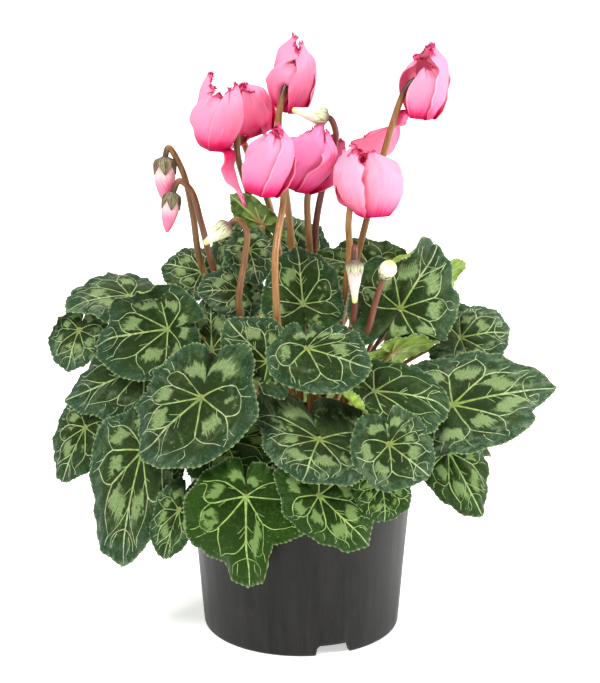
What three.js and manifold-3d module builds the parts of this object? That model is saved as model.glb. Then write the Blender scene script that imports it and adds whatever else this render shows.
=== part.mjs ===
// A florist's cyclamen in a 12 cm nursery pot. Millimetres, +Z up, +X to the right and +Y away
// from the viewer. The origin is the middle of the pot's foot, on the surface that it stands on.
import * as THREE from "three";
import { mergeVertices } from "three/addons/utils/BufferGeometryUtils.js";
import Module from "manifold-3d";

const wasm = await Module();
wasm.setup();

// Pot
const POT_HEIGHT = 105;
const FOOT_RADIUS = 53;
const WALL_TAPER = 0.082; // outward run of the wall for each millimetre of height
const POT_WALL = 1.4;
const RIM_DEPTH = 13;
const RIM_PROUD = 1.1;
const FOOT_RING = 4.5;
const FLOOR_UNDER = 3.5;
const FLOOR_THICK = 1.4;
const NOTCH_WIDTH = 20;
const NOTCH_HEIGHT = 6.2;
const NOTCH_DEPTH = 9;
const NOTCH_COUNT = 3;
const NOTCH_BELOW = 1; // how far the cut for a notch starts below the foot
const NOTCH_SLOPE = 1.2; // how much further in a notch's sides are at its top
const FIRST_NOTCH = 19; // degrees to the right of the front
const POT_EDGE = 1.2; // the rounding at the foot and the rim
const FOOT_SLOPE = 2;
const POT_SIDES = 28;

// Soil and tuber
const CLEARANCE = 0.35; // gap kept between pieces that touch
const MERGE_WITHIN = 1e-4; // corners closer than this are one corner
const SOIL_EDGE = 91; // height of the soil at the pot's wall
const SOIL_RISE = 1.4;
const SOIL_MIDDLE = 91.8;
const SOIL_SHOULDER = 14; // width of the slope beside the wall
const SOIL_CHAMFER = 3;
const SOIL_BUMP = 0.8;
const SOIL_BUMP_RATE = 0.33; // bumps of the soil in radians for each millimetre
const SOIL_SIDES = 22;
const TUBER_RADIUS = 28;
const TUBER_TOP = 101;
const TUBER_MIDDLE = 88;
const TUBER_BOTTOM = 68;
const TUBER_SIDES = 16;
const TUBER_LATITUDES = [-60, -30, 0, 30, 60];

// Stalks grow from rings on the tuber: flowers inside, then upper, middle and lower leaves
const RING_RADIUS = { flower: 9, upper: 13.8, middle: 18.6, lower: 23.4 };
const LEAF_STALK_RADIUS = 1.45;
const LEAF_STALK_STEPS = 4;
const FLOWER_STALK_RADIUS = 1.75;
const STALK_SIDES = 5;
const ROOT_DEPTH = 5; // how far a flower stalk's end is sunk in the tuber

// Blades
const BLADE_THICK = 0.9;
const HUB_SWELL = 2.3; // depth of the swelling under the blade where the stalk joins it
const SMALL_BLADE = 30; // blades shorter than this have fewer points on their outline
// Degrees from the tip of the points on half of a blade's outline
const OUTLINE = {
  small: [30, 62, 98, 138, 174],
  plain: [23, 46, 70, 96, 124, 152, 174],
  trimmed: [13, 22, 34, 50, 68, 96, 124, 152, 174],
};
// Half outline of a blade: degrees from the tip, and the share of the blade's length there
const HEART = [
  [0, 1], [20, 0.93], [42, 0.82], [66, 0.75], [90, 0.72], [114, 0.7], [138, 0.68], [156, 0.67], [168, 0.62],
  [174, 0.5], [180, 0.09],
];
const HEART_HALF_WIDTH = 0.72;
const LOBE_ANGLES = [80, 140]; // degrees from the tip between which the lobes behind the hub begin
const INNER_RING = 0.5; // where the inner ring of points lies, as a share of the radius
const SCALLOP = 0.03; // the margin's shallow scallops, as a share of the radius
const ROLL_START = 0.55; // share of the radius beyond which a rolled margin leaves the blade
const ROLL_RADIUS = 0.13; // radius of that roll, as a share of the blade's length
const SLOPE_REACH = 0.08; // a blade's slope is taken over this share of its radius,
const SLOPE_ANGLE = 4; // and over this many degrees to each side
const LEAST_REACH = 0.02; // and starts this far from the hub
const LEAST_ROLL = 0.01; // a roll fainter than this is left out
const EVEN = {
  arch: 0.07, fold: 0.12, droop: 0.2, lobes: 0.3, wave: 0.05, waves: 3, phase: 0, back: 1, skew: 0,
};

const vec = (p) => new THREE.Vector3(p[0], p[1], p[2]);
const UP = new THREE.Vector3(0, 0, 1);

// Heart-shaped leaves. hub is where the stalk joins the blade, tip is the blade's point, face is
// the way its upper side looks, back stretches the lobes behind the hub, roll is a margin that rolls
// over: [degrees from the tip, spread]. trim is a list of [degrees from the tip, share of the even
// outline]. skew turns the cleft behind the hub, in degrees. from is the way the stalk comes in,
// where it isn't behind.
const LEAVES = [
  // crown of the plant
  { name: "leaf_top_young", ring: "upper", hub: [-21, 9, 221], tip: [-37, 2, 238], face: [-0.5, 0.6, 0.5],
    width: 17, fold: 0.5, from: [-0.15, 0.05, 1] },
  { name: "leaf_top_centre_back", ring: "upper", hub: [-1, 30, 200], tip: [-8, 46, 216],
    face: [0, -0.8, 0.6], width: 34, roll: [70, 50] },
  { name: "leaf_top_left_face", ring: "upper", hub: [-27, -8, 211], tip: [-22, -22, 196],
    face: [0.1, -0.9, 0.45], width: 27 },
  { name: "leaf_top_left_small", ring: "upper", hub: [-34, 8, 213], tip: [-42, -4, 201],
    face: [-0.3, -0.9, 0.4], width: 24 },
  { name: "leaf_top_left_low", ring: "upper", hub: [-32, -20, 192], tip: [-54, -26, 193],
    face: [-0.1, -0.75, 0.65], width: 30, phase: 1 },
  { name: "leaf_top_left_back", ring: "upper", hub: [-54, 34, 188], tip: [-76, 42, 190],
    face: [-0.1, -0.6, 0.8], width: 34 },
  { name: "leaf_top_centre", ring: "upper", hub: [1, -38, 190], tip: [-2, -10, 212],
    face: [0, -0.75, 0.65], width: 42, phase: 2 },
  { name: "leaf_top_right_back", ring: "upper", hub: [39, 10, 193], tip: [6, 30, 198],
    face: [0.1, -0.7, 0.7], width: 44, roll: [100, 45] },
  { name: "leaf_top_right_face", ring: "upper", hub: [51, -32, 186], tip: [71, 0, 210],
    face: [0.25, -0.75, 0.55], width: 58, roll: [40, 35], phase: 1 },
  { name: "leaf_top_right_behind", ring: "upper", hub: [72, 32, 181], tip: [90, 41, 191],
    face: [0.3, 0.75, 0.5], width: 26 },
  // left side
  { name: "leaf_left_outer", ring: "middle", hub: [-92, 14, 180], tip: [-125, -2, 177],
    face: [-0.2, -0.5, 0.85], width: 42 },
  { name: "leaf_left_tip", ring: "middle", hub: [-118, 0, 165], tip: [-124, -10, 145],
    face: [-0.35, -0.85, 0.2], width: 32, roll: [-110, 60] },
  { name: "leaf_left_broad", ring: "upper", hub: [-68, -46, 179], tip: [-107, -26, 165],
    face: [-0.3, -0.8, 0.5], width: 54, roll: [-70, 45], back: 0.68 },
  { name: "leaf_left_inner", ring: "upper", hub: [-46, -44, 167], tip: [-47, -18, 187],
    face: [0, -0.75, 0.65], width: 36, phase: 2 },
  { name: "leaf_left_middle", ring: "middle", hub: [-81, -35, 155], tip: [-122, -14, 129],
    face: [-0.4, -0.8, 0.45], width: 44, phase: 1 },
  { name: "leaf_left_hanging", ring: "lower", hub: [-114, -22, 118], tip: [-127, -24, 88],
    face: [-0.35, -0.9, 0.2], width: 30 },
  { name: "leaf_left_long", ring: "lower", hub: [-82, -50, 115], tip: [-94, -46, 49],
    face: [-0.35, -0.9, 0.05], width: 52, fold: 0.3, phase: 1, back: 0.64,
    trim: [[-180, 1], [-60, 1], [0, 1], [50, 0.86], [90, 0.72], [130, 0.8], [180, 0.9]] },
  { name: "leaf_left_low_small", ring: "lower", hub: [-75, -44, 102], tip: [-79, -48, 73],
    face: [0.1, -0.95, 0.1], width: 27 },
  { name: "leaf_left_low_twisted", ring: "lower", hub: [-63, -64, 87], tip: [-71, -68, 62],
    face: [-0.3, -0.9, 0.1], width: 25, fold: 0.4, phase: 2, from: [-0.5, -0.5, -0.9], rise: 40 },
  // front
  { name: "leaf_front_left_broad", ring: "middle", hub: [-50, -76, 152], tip: [-82, -64, 117],
    face: [-0.1, -0.85, 0.5], width: 56, skew: 42 },
  { name: "leaf_front_upright", ring: "upper", hub: [-17, -70, 169], tip: [-38, -60, 187],
    face: [0, -0.85, 0.45], width: 38, phase: 1, roll: [100, 50] },
  { name: "leaf_front_heart", ring: "upper", hub: [3, -80, 179], tip: [35, -78, 167],
    face: [0.05, -0.85, 0.5], width: 42, skew: -70, back: 0.66 },
  { name: "leaf_front_shaded", ring: "middle", hub: [-39, -56, 122], tip: [-30, -76, 106],
    face: [0, -0.6, 0.8], width: 54, phase: 2, back: 1.2 },
  { name: "leaf_front_wide", ring: "middle", hub: [9, -80, 131], tip: [0, -93, 113],
    face: [0, -0.75, 0.65], width: 62, phase: 1, back: 1.6, skew: 24 },
  { name: "leaf_front_right_wide", ring: "upper", hub: [37, -66, 152], tip: [77, -52, 138],
    face: [0.1, -0.5, 0.86], width: 50, roll: [-150, 60] },
  { name: "leaf_front_right", ring: "middle", hub: [44, -84, 130], tip: [64, -82, 112],
    face: [0.1, -0.9, 0.4], width: 42, phase: 1, skew: -40 },
  { name: "leaf_rim_left", ring: "lower", hub: [-28, -78, 100], tip: [-27, -71, 48],
    face: [-0.1, -0.95, 0.2], width: 62,
    trim: [[-180, 0.6], [-140, 0.62], [-112, 0.82], [-86, 1], [-70, 1.08], [-50, 1.06], [-34, 0.86],
      [-22, 0.76], [-13, 0.97], [0, 1], [13, 0.97], [22, 0.74], [34, 0.68], [52, 0.84], [66, 1.08],
      [86, 1], [112, 0.82], [140, 0.62], [180, 0.6]] },
  { name: "leaf_rim_small", ring: "lower", hub: [-8, -74, 103], tip: [-21, -79, 86], face: [0, -0.9, 0.4],
    width: 27, phase: 1 },
  { name: "leaf_rim_centre", ring: "lower", hub: [9, -82, 102], tip: [34, -77, 74],
    face: [0.1, -0.93, 0.3], width: 39, phase: 2 },
  { name: "leaf_rim_right", ring: "lower", hub: [41, -78, 106], tip: [43, -75, 85],
    face: [0.15, -0.93, 0.3], width: 32 },
  // right side
  { name: "leaf_right_upper", ring: "middle", hub: [84, -10, 164], tip: [111, 2, 164],
    face: [0.35, -0.75, 0.55], width: 38, phase: 1 },
  { name: "leaf_right_broad", ring: "middle", hub: [78, -48, 139], tip: [133, -20, 140],
    face: [0.15, -0.8, 0.55], width: 54 },
  { name: "leaf_right_underside", ring: "middle", hub: [47, -34, 163], tip: [72, -28, 166],
    face: [0, 0.7, 0.7], width: 30 },
  { name: "leaf_right_hanging", ring: "lower", hub: [76, -48, 114], tip: [93, -44, 77],
    face: [0.35, -0.9, 0.2], width: 36, phase: 2 },
  { name: "leaf_right_shaded", ring: "lower", hub: [66, -36, 128], tip: [80, -46, 112],
    face: [0.4, -0.8, 0.45], width: 34 },
  // back
  { name: "leaf_back_right", ring: "middle", hub: [76, 46, 150], tip: [110, 62, 134],
    face: [0.55, 0.35, 0.75], width: 56 },
  { name: "leaf_back_right_low", ring: "lower", hub: [78, 22, 112], tip: [104, 28, 84],
    face: [0.8, 0.15, 0.55], width: 50, phase: 1 },
  { name: "leaf_back_right_inner", ring: "middle", hub: [36, 62, 168], tip: [54, 84, 154],
    face: [0.3, 0.55, 0.75], width: 52, phase: 2 },
  { name: "leaf_back_middle", ring: "middle", hub: [-14, 66, 160], tip: [-10, 97, 142],
    face: [0, 0.6, 0.8], width: 58 },
  { name: "leaf_back_middle_low", ring: "lower", hub: [14, 74, 112], tip: [18, 94, 76],
    face: [0.1, 0.9, 0.4], width: 56, phase: 1 },
  { name: "leaf_back_left_low", ring: "lower", hub: [-46, 64, 110], tip: [-62, 82, 76],
    face: [-0.5, 0.75, 0.4], width: 52, phase: 2 },
  { name: "leaf_back_right_corner", ring: "lower", hub: [56, 58, 104], tip: [76, 78, 72],
    face: [0.55, 0.7, 0.4], width: 50 },
  { name: "leaf_back_left", ring: "middle", hub: [-66, 50, 156], tip: [-96, 72, 138],
    face: [-0.5, 0.4, 0.75], width: 56, phase: 1 },
  { name: "leaf_back_left_outer", ring: "lower", hub: [-84, 26, 120], tip: [-112, 38, 92],
    face: [-0.75, 0.25, 0.6], width: 50 },
];

// Blooms. nose is the middle of the mouth, lean is the way from the mouth up to the calyx, side is
// where the stalk passes (degrees, 0 to the right and 90 to the back), open and reach are how far
// each petal is bent out and how long it is, and path is the stalk's way up. twist is how far a
// petal leans round the bloom on its way up, in degrees, and lap is as SHINGLE says.
const BLOOMS = [
  { name: "bloom_left", nose: [-44, -5, 265], lean: [0.12, 0, 1], side: 20, size: 0.95, girth: 0.88,
    open: [0, 0, 0, 0, 156], reach: [0.82, 0.88, 1.1, 0.96, 1.02], twist: 42,
    path: [[-11, 8, 150], [-22, 13, 186], [-27, 16, 231]] },
  { name: "bloom_back_left", nose: [-22, 29, 266], lean: [-0.4, 0.1, 0.95], side: 200, size: 0.8,
    girth: 1, open: [24, 0, 0, 0, 40], reach: [1, 1.02, 0.9, 0.85, 0.9], twist: 40,
    path: [[-6, 12, 150], [-16, 21, 225]] },
  { name: "bloom_top", nose: [-5, 20, 280], lean: [0.08, 0, 1], side: 240, size: 1, girth: 0.8,
    open: [0, 0, -6, -4, 10], reach: [0.96, 1, 1.02, 1.06, 0.84], twist: 34,
    path: [[-1, 10, 150], [-6, 12, 220]] },
  { name: "bloom_front_centre", nose: [-19, -44, 250], lean: [0.16, 0, 1], side: 30, size: 0.95, girth: 0.9,
    open: [0, 0, 2, 0, 0], reach: [0.84, 0.84, 1, 1.03, 0.94], twist: 50,
    path: [[-4, -11, 130], [-10, -40, 165], [-12, -55, 186], [-13, -52, 220]] },
  { name: "bloom_front_right_of_centre", nose: [-3, -8, 245], lean: [0.35, 0, 0.9], side: 45, size: 0.95,
    girth: 1, open: [0, 0, 0, 4, 26], reach: [0.86, 0.84, 1.02, 1.02, 0.96], twist: 44,
    path: [[5, 6, 130], [5, 4, 200]] },
  { name: "bloom_right", nose: [37, -24, 235], lean: [-0.06, 0, 1], side: 170, size: 1, girth: 1.08,
    open: [16, 0, -4, -4, 8], reach: [1, 0.86, 0.92, 0.92, 0.94], twist: 20, lap: 1,
    path: [[12, -2, 130], [20, -16, 170], [25, -18, 212]] },
  { name: "bloom_top_right", nose: [61, 0, 281], lean: [0.14, 0, 1], side: 190, size: 1, girth: 0.9,
    open: [14, -3, -6, -6, 130], reach: [0.7, 1.04, 1.06, 0.94, 0.92], twist: 34,
    path: [[12, 3, 130], [26, 0, 190], [35, 0, 228]] },
];
const BLOOM_PETALS = 5;
const PETAL_THICK = 0.8;
const PETAL_ROWS = 4;
const PETAL_COLUMNS = 3;
const HANGING_TWIST = 20; // twist of a hanging petal
const SHINGLE = 1.7; // how far a petal's left edge lies outside its neighbour, or its right for lap 1
const PETAL_BEND = 14; // radius of a petal's curve across its width
const RUFFLE = 1.1; // depth of the ruffle along a petal's end
const RUFFLE_WAVES = 3;
const PETAL_UNLIKE = 0.04; // share by which the petals of a bloom differ in length
const PETAL_UNLIKE_RATE = 2.4;
const OPEN_UNLIKE = 4; // degrees by which they differ in opening
const OPEN_UNLIKE_RATE = 4.1;
const OPEN_SLOPE = 3; // a petal bends out over a third of its length,
const OPEN_DELAY = 0.4; // and a little way up from the mouth
const SPREAD_SLOPE = 2; // its curve across is full from halfway up
const HANGING = 90; // petals opened further than this hang, turned to show a face
const HANGING_TURN = 62;
const HANGING_SLOPE = 1.5;
const PETAL_POINT = 0.18; // how much shorter a petal is at its edges than at its middle
// Middle line of a petal: distance from the bloom's middle line and height above the mouth
const PETAL_LINE = [[7, 1.6], [9.2, -0.6], [11.4, 5], [13.4, 14], [11.8, 25], [7, 35]];
const PETAL_HALF_WIDTHS = [4.4, 5.8, 8.8, 12, 11.6, 6];
// Throat, from the disc under the calyx down to the mouth: distance out and height
const THROAT_TOP = 10;
const THROAT = [[4.6, 10], [5.6, 5.5], [7, 1.6]];
const CALYX = [[0, 0], [5.4, 0], [4.6, 2.2], [0, 4.2]];
// A flower's stalk passes the mouth at a distance out and a height, and then hooks over by points
// whose heights are counted from the throat's top
const PASS = [13, -4];
const HOOK = [[9, 3], [5, 8], [0.6, 6.5], [0, 2]];

// Buds. base is the middle of the calyx mouth, point is the bud's tip, path and hook are the stalk's
const BUDS = [
  { name: "bud_left_upper", finish: "petal", base: [-71, 0, 256], point: [-71, -2, 240], radius: 5.4,
    hook: [-69, 0, 264],
    path: [[-12, 2, 130], [-40, 2, 172], [-53, 1, 202], [-57, 0, 230], [-62, 0, 252]] },
  { name: "bud_left_lower", finish: "petal", base: [-67, -12, 240], point: [-69, -14, 227], radius: 4.4,
    hook: [-63, -12, 249],
    path: [[-12, -2, 135], [-35, -3, 174], [-46, -9, 202], [-52, -12, 227], [-57, -12, 244]] },
  { name: "bud_white_left", finish: "palePetal", base: [-39, -28, 228], point: [-46, -30, 223],
    radius: 4.2, hook: [-33, -27, 232],
    path: [[-8, -9, 130], [-24, -28, 165], [-32, -36, 188], [-29, -30, 212], [-28, -27, 226]] },
  { name: "bud_white_top", finish: "palePetal", base: [11, -4, 281], point: [0, -6, 284], radius: 4.4,
    hook: [15, -3, 280], path: [[6, 8, 150], [8, 6, 223], [15, 0, 258], [18, -3, 272]] },
  { name: "bud_drooping", finish: "palePetal", base: [27, -52, 214], point: [27, -54, 200], radius: 3.8,
    hook: [27, -50, 223],
    path: [[8, -10, 130], [22, -34, 165], [27, -44, 186], [27, -43, 210], [27, -45, 220]] },
  { name: "bud_round", finish: "palePetal", base: [42, -46, 207], point: [44, -47, 211], radius: 4.4,
    hook: [41, -46, 204], path: [[11, -6, 130], [26, -30, 158], [34, -45, 178], [38, -46, 194]] },
];
const BUD_SIDES = 7;
const SEPAL_LENGTH = 5;
const SEPAL_WALL = 0.9;
const CALYX_NECK = 3.4;
const BUD_STALK_END = 2; // where a bud's stalk ends behind the calyx mouth
// Half outline of a bud: share of its radius and of its length
const BUD_SHAPE = [[0, 0], [0.9, 0.02], [1, 0.12], [0.94, 0.45], [0.55, 0.8], [0, 1]];

// A closed geometry as a solid, with its shared vertices merged and its faces turned outwards.
function solid(geometry) {
  const bare = new THREE.BufferGeometry();
  bare.setAttribute("position", geometry.getAttribute("position"));
  bare.setIndex(geometry.getIndex());
  const merged = mergeVertices(bare, MERGE_WITHIN);
  const corners = Array.from(merged.getIndex().array);
  const faces = [];
  for (let i = 0; i < corners.length; i += 3) {
    const [a, b, c] = corners.slice(i, i + 3);
    if (a !== b && b !== c && a !== c) faces.push(a, b, c);
  }
  const vertProperties = Float32Array.from(merged.getAttribute("position").array);
  const build = (order) => {
    const triVerts = Uint32Array.from(order);
    return new wasm.Manifold(new wasm.Mesh({ numProp: 3, vertProperties, triVerts }));
  };
  const body = build(faces);
  if (body.volume() > 0) return body;
  const turned = [];
  for (let i = 0; i < faces.length; i += 3) turned.push(faces[i], faces[i + 2], faces[i + 1]);
  return build(turned);
}

// The largest body of a solid: scraps that a cut leaves are dropped.
function largest(body) {
  const pieces = body.decompose();
  return pieces.reduce((best, piece) => (piece.volume() > best.volume() ? piece : best));
}

function geometryOf(body) {
  const mesh = body.getMesh();
  const geometry = new THREE.BufferGeometry();
  const positions = new Float32Array(mesh.numVert * 3);
  for (let i = 0; i < mesh.numVert; i += 1) {
    for (let axis = 0; axis < 3; axis += 1) {
      positions[i * 3 + axis] = mesh.vertProperties[i * mesh.numProp + axis];
    }
  }
  geometry.setAttribute("position", new THREE.BufferAttribute(positions, 3));
  geometry.setIndex(Array.from(mesh.triVerts));
  geometry.computeVertexNormals();
  return geometry;
}

// Body of revolution about +Z from [radius, height] points that start and end on the axis or close.
function turned(points, sides) {
  const profile = points.map(([radius, height]) => new THREE.Vector2(radius, height));
  return new THREE.LatheGeometry(profile, sides).rotateX(Math.PI / 2);
}

// A curve whose steps follow its own points, so that a hook has as many as a long straight run.
class StalkCurve extends THREE.CatmullRomCurve3 {
  getPointAt(share, target) {
    return this.getPoint(share, target);
  }

  getTangentAt(share, target) {
    return this.getTangent(share, target);
  }
}

// Round rod along a curve.
function rod(curve, radius, sides, steps) {
  const corners = [];
  for (let i = 0; i < sides; i += 1) {
    const angle = (2 * Math.PI * i) / sides;
    corners.push(new THREE.Vector2(radius * Math.cos(angle), radius * Math.sin(angle)));
  }
  const along = { extrudePath: curve, steps, bevelEnabled: false };
  return new THREE.ExtrudeGeometry(new THREE.Shape(corners), along);
}

// Straight-line value at x in a list of [x, value] pairs.
function between(pairs, x) {
  for (let i = 1; i < pairs.length; i += 1) {
    const [x0, y0] = pairs[i - 1];
    const [x1, y1] = pairs[i];
    if (x <= x1) return y0 + ((y1 - y0) * (x - x0)) / (x1 - x0);
  }
  return pairs[pairs.length - 1][1];
}

// Where a blade stands: its hub, and its own directions along the midrib, sideways and upwards.
function bladeFrame(leaf) {
  const hub = vec(leaf.hub);
  const along = vec(leaf.tip).sub(hub);
  const length = along.length();
  along.normalize();
  const up = vec(leaf.face);
  up.addScaledVector(along, -up.dot(along)).normalize();
  const side = new THREE.Vector3().crossVectors(up, along);
  return { hub, along, side, up, length };
}

// A point of a blade's middle surface. angle is in degrees from the tip, reach runs from 0 at the
// hub to 1 at the margin, and scallop makes the margin's own in and out.
function bladePoint(leaf, frame, angle, reach, scallop) {
  const shape = { ...EVEN, ...leaf };
  const level = THREE.MathUtils.degToRad(angle);
  const turn = level + THREE.MathUtils.degToRad(shape.skew) * Math.sin(level / 2) ** 2;
  const behindHub = THREE.MathUtils.smoothstep(Math.abs(angle), ...LOBE_ANGLES);
  const stretch = (1 + (shape.back - 1) * behindHub) * (leaf.trim ? between(leaf.trim, angle) : 1);
  const full = frame.length * between(HEART, Math.abs(angle)) * (1 + scallop) * stretch;
  let out = full * reach;
  let lift = 0;
  if (leaf.roll) {
    const [middle, spread] = leaf.roll;
    const offset = Math.min(1, Math.abs(angle - middle) / spread);
    const share = Math.cos((offset * Math.PI) / 2) ** 2;
    const beyond = full * Math.max(0, reach - ROLL_START);
    if (share > LEAST_ROLL && beyond > 0) {
      const radius = (frame.length * ROLL_RADIUS) / share;
      out = full * ROLL_START + radius * Math.sin(beyond / radius);
      lift = radius * (1 - Math.cos(beyond / radius));
    }
  }
  const halfWidth = leaf.width / 2;
  const u = (out * Math.cos(turn)) / frame.length;
  const sideways = (out * Math.sin(turn) * halfWidth) / (HEART_HALF_WIDTH * frame.length);
  const v = Math.abs(sideways) / halfWidth;
  const ahead = Math.max(0, u);
  const behind = Math.min(0, u);
  lift += frame.length * 4 * shape.arch * ahead * (1 - ahead);
  lift -= frame.length * shape.lobes * behind * behind;
  lift += halfWidth * (shape.fold * v - shape.droop * v * v);
  lift += frame.length * shape.wave * reach * reach * Math.sin(shape.waves * turn + shape.phase);
  return frame.hub.clone()
    .addScaledVector(frame.along, u * frame.length)
    .addScaledVector(frame.side, sideways)
    .addScaledVector(frame.up, lift);
}

// Upward direction of a blade's surface at a point, from three points close by.
function bladeNormal(leaf, frame, angle, reach, scallop) {
  const inner = bladePoint(leaf, frame, angle, Math.max(LEAST_REACH, reach - SLOPE_REACH), scallop);
  const before = bladePoint(leaf, frame, Math.max(-180, angle - SLOPE_ANGLE), reach, scallop);
  const after = bladePoint(leaf, frame, Math.min(180, angle + SLOPE_ANGLE), reach, scallop);
  const outer = bladePoint(leaf, frame, angle, reach, scallop);
  return new THREE.Vector3().crossVectors(outer.sub(inner), after.sub(before)).normalize();
}

// A blade: rings of points about the hub, joined alike on both faces, and closed by an edge strip.
function bladeGeometry(leaf, grow) {
  const frame = bladeFrame(leaf);
  const plain = frame.length < SMALL_BLADE ? OUTLINE.small : OUTLINE.plain;
  const half = leaf.trim ? OUTLINE.trimmed : plain;
  const angles = [0, ...half, 180, ...half.map((a) => -a).reverse()];
  const thick = BLADE_THICK + 2 * grow;
  const positions = [];
  for (const face of [1, -1]) {
    const depth = face > 0 ? thick / 2 : HUB_SWELL + grow;
    const middle = frame.hub.clone().addScaledVector(frame.up, face * depth);
    positions.push(middle.x, middle.y, middle.z);
    const ring = (reach, stride) => angles.forEach((angle, k) => {
      if (k % stride) return;
      const scallop = reach < 1 || k === 0 ? 0 : SCALLOP * (k % 2 ? -1 : 1);
      const wider = reach * (1 + grow / frame.length);
      const p = bladePoint(leaf, frame, angle, wider, scallop);
      p.addScaledVector(bladeNormal(leaf, frame, angle, wider, scallop), (face * thick) / 2);
      positions.push(p.x, p.y, p.z);
    });
    ring(INNER_RING, 2);
    ring(1, 1);
  }
  const count = angles.length;
  const spokes = count / 2;
  const rim = 1 + spokes;
  const faceSize = rim + count;
  const index = [];
  for (const face of [0, 1]) {
    const start = face * faceSize;
    const push = (a, b, c) => (face ? index.push(a, c, b) : index.push(a, b, c));
    for (let k = 0; k < spokes; k += 1) {
      const [inner, nextInner] = [start + 1 + k, start + 1 + ((k + 1) % spokes)];
      const [outer, between] = [start + rim + 2 * k, start + rim + 2 * k + 1];
      const nextOuter = start + rim + ((2 * k + 2) % count);
      push(start, inner, nextInner);
      push(inner, outer, between);
      push(inner, between, nextInner);
      push(nextInner, between, nextOuter);
    }
  }
  for (let k = 0; k < count; k += 1) {
    const next = (k + 1) % count;
    index.push(rim + k, faceSize + rim + k, faceSize + rim + next);
    index.push(rim + k, faceSize + rim + next, rim + next);
  }
  const geometry = new THREE.BufferGeometry();
  geometry.setAttribute("position", new THREE.Float32BufferAttribute(positions, 3));
  geometry.setIndex(index);
  return geometry;
}

// Height of the tuber's upper side at a distance from its middle.
function tuberHeight(radius) {
  const share = Math.min(1, radius / TUBER_RADIUS);
  return TUBER_MIDDLE + (TUBER_TOP - TUBER_MIDDLE) * Math.sqrt(1 - share * share);
}

// Roots of the leaf stalks: the leaves of one ring stand at even steps, in the order in which
// their hubs follow each other round the plant, so that no stalk crosses its neighbour.
function leafRoots() {
  const roots = {};
  for (const ring of ["upper", "middle", "lower"]) {
    const members = LEAVES.filter((leaf) => leaf.ring === ring);
    const heading = (leaf) => Math.atan2(leaf.hub[1], leaf.hub[0]);
    members.sort((a, b) => heading(a) - heading(b));
    const step = (2 * Math.PI) / members.length;
    const slack = members.map((leaf, i) => heading(leaf) - i * step);
    const start = slack.reduce((sum, value) => sum + value, 0) / members.length;
    const radius = RING_RADIUS[ring];
    const height = tuberHeight(radius) - LEAF_STALK_RADIUS;
    members.forEach((leaf, i) => {
      const angle = start + i * step;
      roots[leaf.name] = new THREE.Vector3(radius * Math.cos(angle), radius * Math.sin(angle), height);
    });
  }
  return roots;
}

const LEAF_ROOTS = leafRoots();
const STALK_RISE = { upper: 48, middle: 38, lower: 26 }; // pull upwards at the root, by ring
const STALK_LEAN = 18; // pull outwards at the root
const STALK_REACH = 24; // pull behind the hub, where the stalk comes in
const STALK_ARRIVAL = { along: 0.7, up: 0.5 }; // the way in, in the blade's own directions
const STALK_SINK = 0.6; // how far under the blade's middle surface a stalk's line ends

// Line of a leaf's stalk: up and out from the tuber, then to the hub from behind and beneath.
function leafStalkCurve(leaf) {
  const frame = bladeFrame(leaf);
  const root = LEAF_ROOTS[leaf.name];
  const outward = new THREE.Vector3(root.x, root.y, 0).normalize();
  const height = leaf.rise ?? STALK_RISE[leaf.ring];
  const rise = root.clone().addScaledVector(UP, height).addScaledVector(outward, STALK_LEAN);
  const arrival = frame.along.clone().multiplyScalar(STALK_ARRIVAL.along);
  arrival.addScaledVector(frame.up, STALK_ARRIVAL.up);
  if (leaf.from) arrival.copy(vec(leaf.from));
  arrival.normalize();
  const behind = frame.hub.clone().addScaledVector(arrival, -STALK_REACH);
  const end = frame.hub.clone().addScaledVector(frame.up, -STALK_SINK);
  return new THREE.CubicBezierCurve3(root, rise, behind, end);
}

// Stands a geometry made about +Z on a point, with +Z turned to a direction.
function stand(geometry, point, direction) {
  const turn = new THREE.Quaternion().setFromUnitVectors(UP, direction.clone().normalize());
  return geometry.applyQuaternion(turn).translate(point.x, point.y, point.z);
}

function makePot() {
  const wallAt = (height) => FOOT_RADIUS + WALL_TAPER * height;
  const rimStart = POT_HEIGHT - RIM_DEPTH;
  const floorTop = FLOOR_UNDER + FLOOR_THICK;
  const inside = (height) => wallAt(height) - POT_WALL;
  const rimAt = (height) => wallAt(height) + RIM_PROUD;
  const profile = [
    [0, FLOOR_UNDER], [FOOT_RADIUS - FOOT_RING - FOOT_SLOPE, FLOOR_UNDER], [FOOT_RADIUS - FOOT_RING, 0],
    [FOOT_RADIUS - POT_EDGE, 0], [wallAt(POT_EDGE), POT_EDGE], [wallAt(rimStart), rimStart],
    [rimAt(rimStart), rimStart + POT_EDGE], [rimAt(POT_HEIGHT), POT_HEIGHT - POT_EDGE],
    [rimAt(POT_HEIGHT) - POT_EDGE, POT_HEIGHT], [inside(POT_HEIGHT), POT_HEIGHT],
    [inside(floorTop + FOOT_SLOPE), floorTop + FOOT_SLOPE], [inside(floorTop) - FOOT_SLOPE, floorTop],
    [0, floorTop],
  ];
  let pot = solid(turned(profile, POT_SIDES));
  for (let i = 0; i < NOTCH_COUNT; i += 1) {
    const half = NOTCH_WIDTH / 2;
    const top = half - NOTCH_SLOPE;
    const outline = [[-half, -NOTCH_BELOW], [half, -NOTCH_BELOW], [top, NOTCH_HEIGHT], [-top, NOTCH_HEIGHT]];
    const shape = new THREE.Shape(outline.map(([x, z]) => new THREE.Vector2(x, z)));
    const notch = new THREE.ExtrudeGeometry(shape, { depth: 1.5 * NOTCH_DEPTH, bevelEnabled: false });
    notch.rotateX(Math.PI / 2).translate(0, NOTCH_DEPTH - FOOT_RADIUS, 0);
    notch.rotateZ(THREE.MathUtils.degToRad(FIRST_NOTCH + (360 / NOTCH_COUNT) * i));
    pot = pot.subtract(solid(notch));
  }
  return pot;
}

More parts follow.
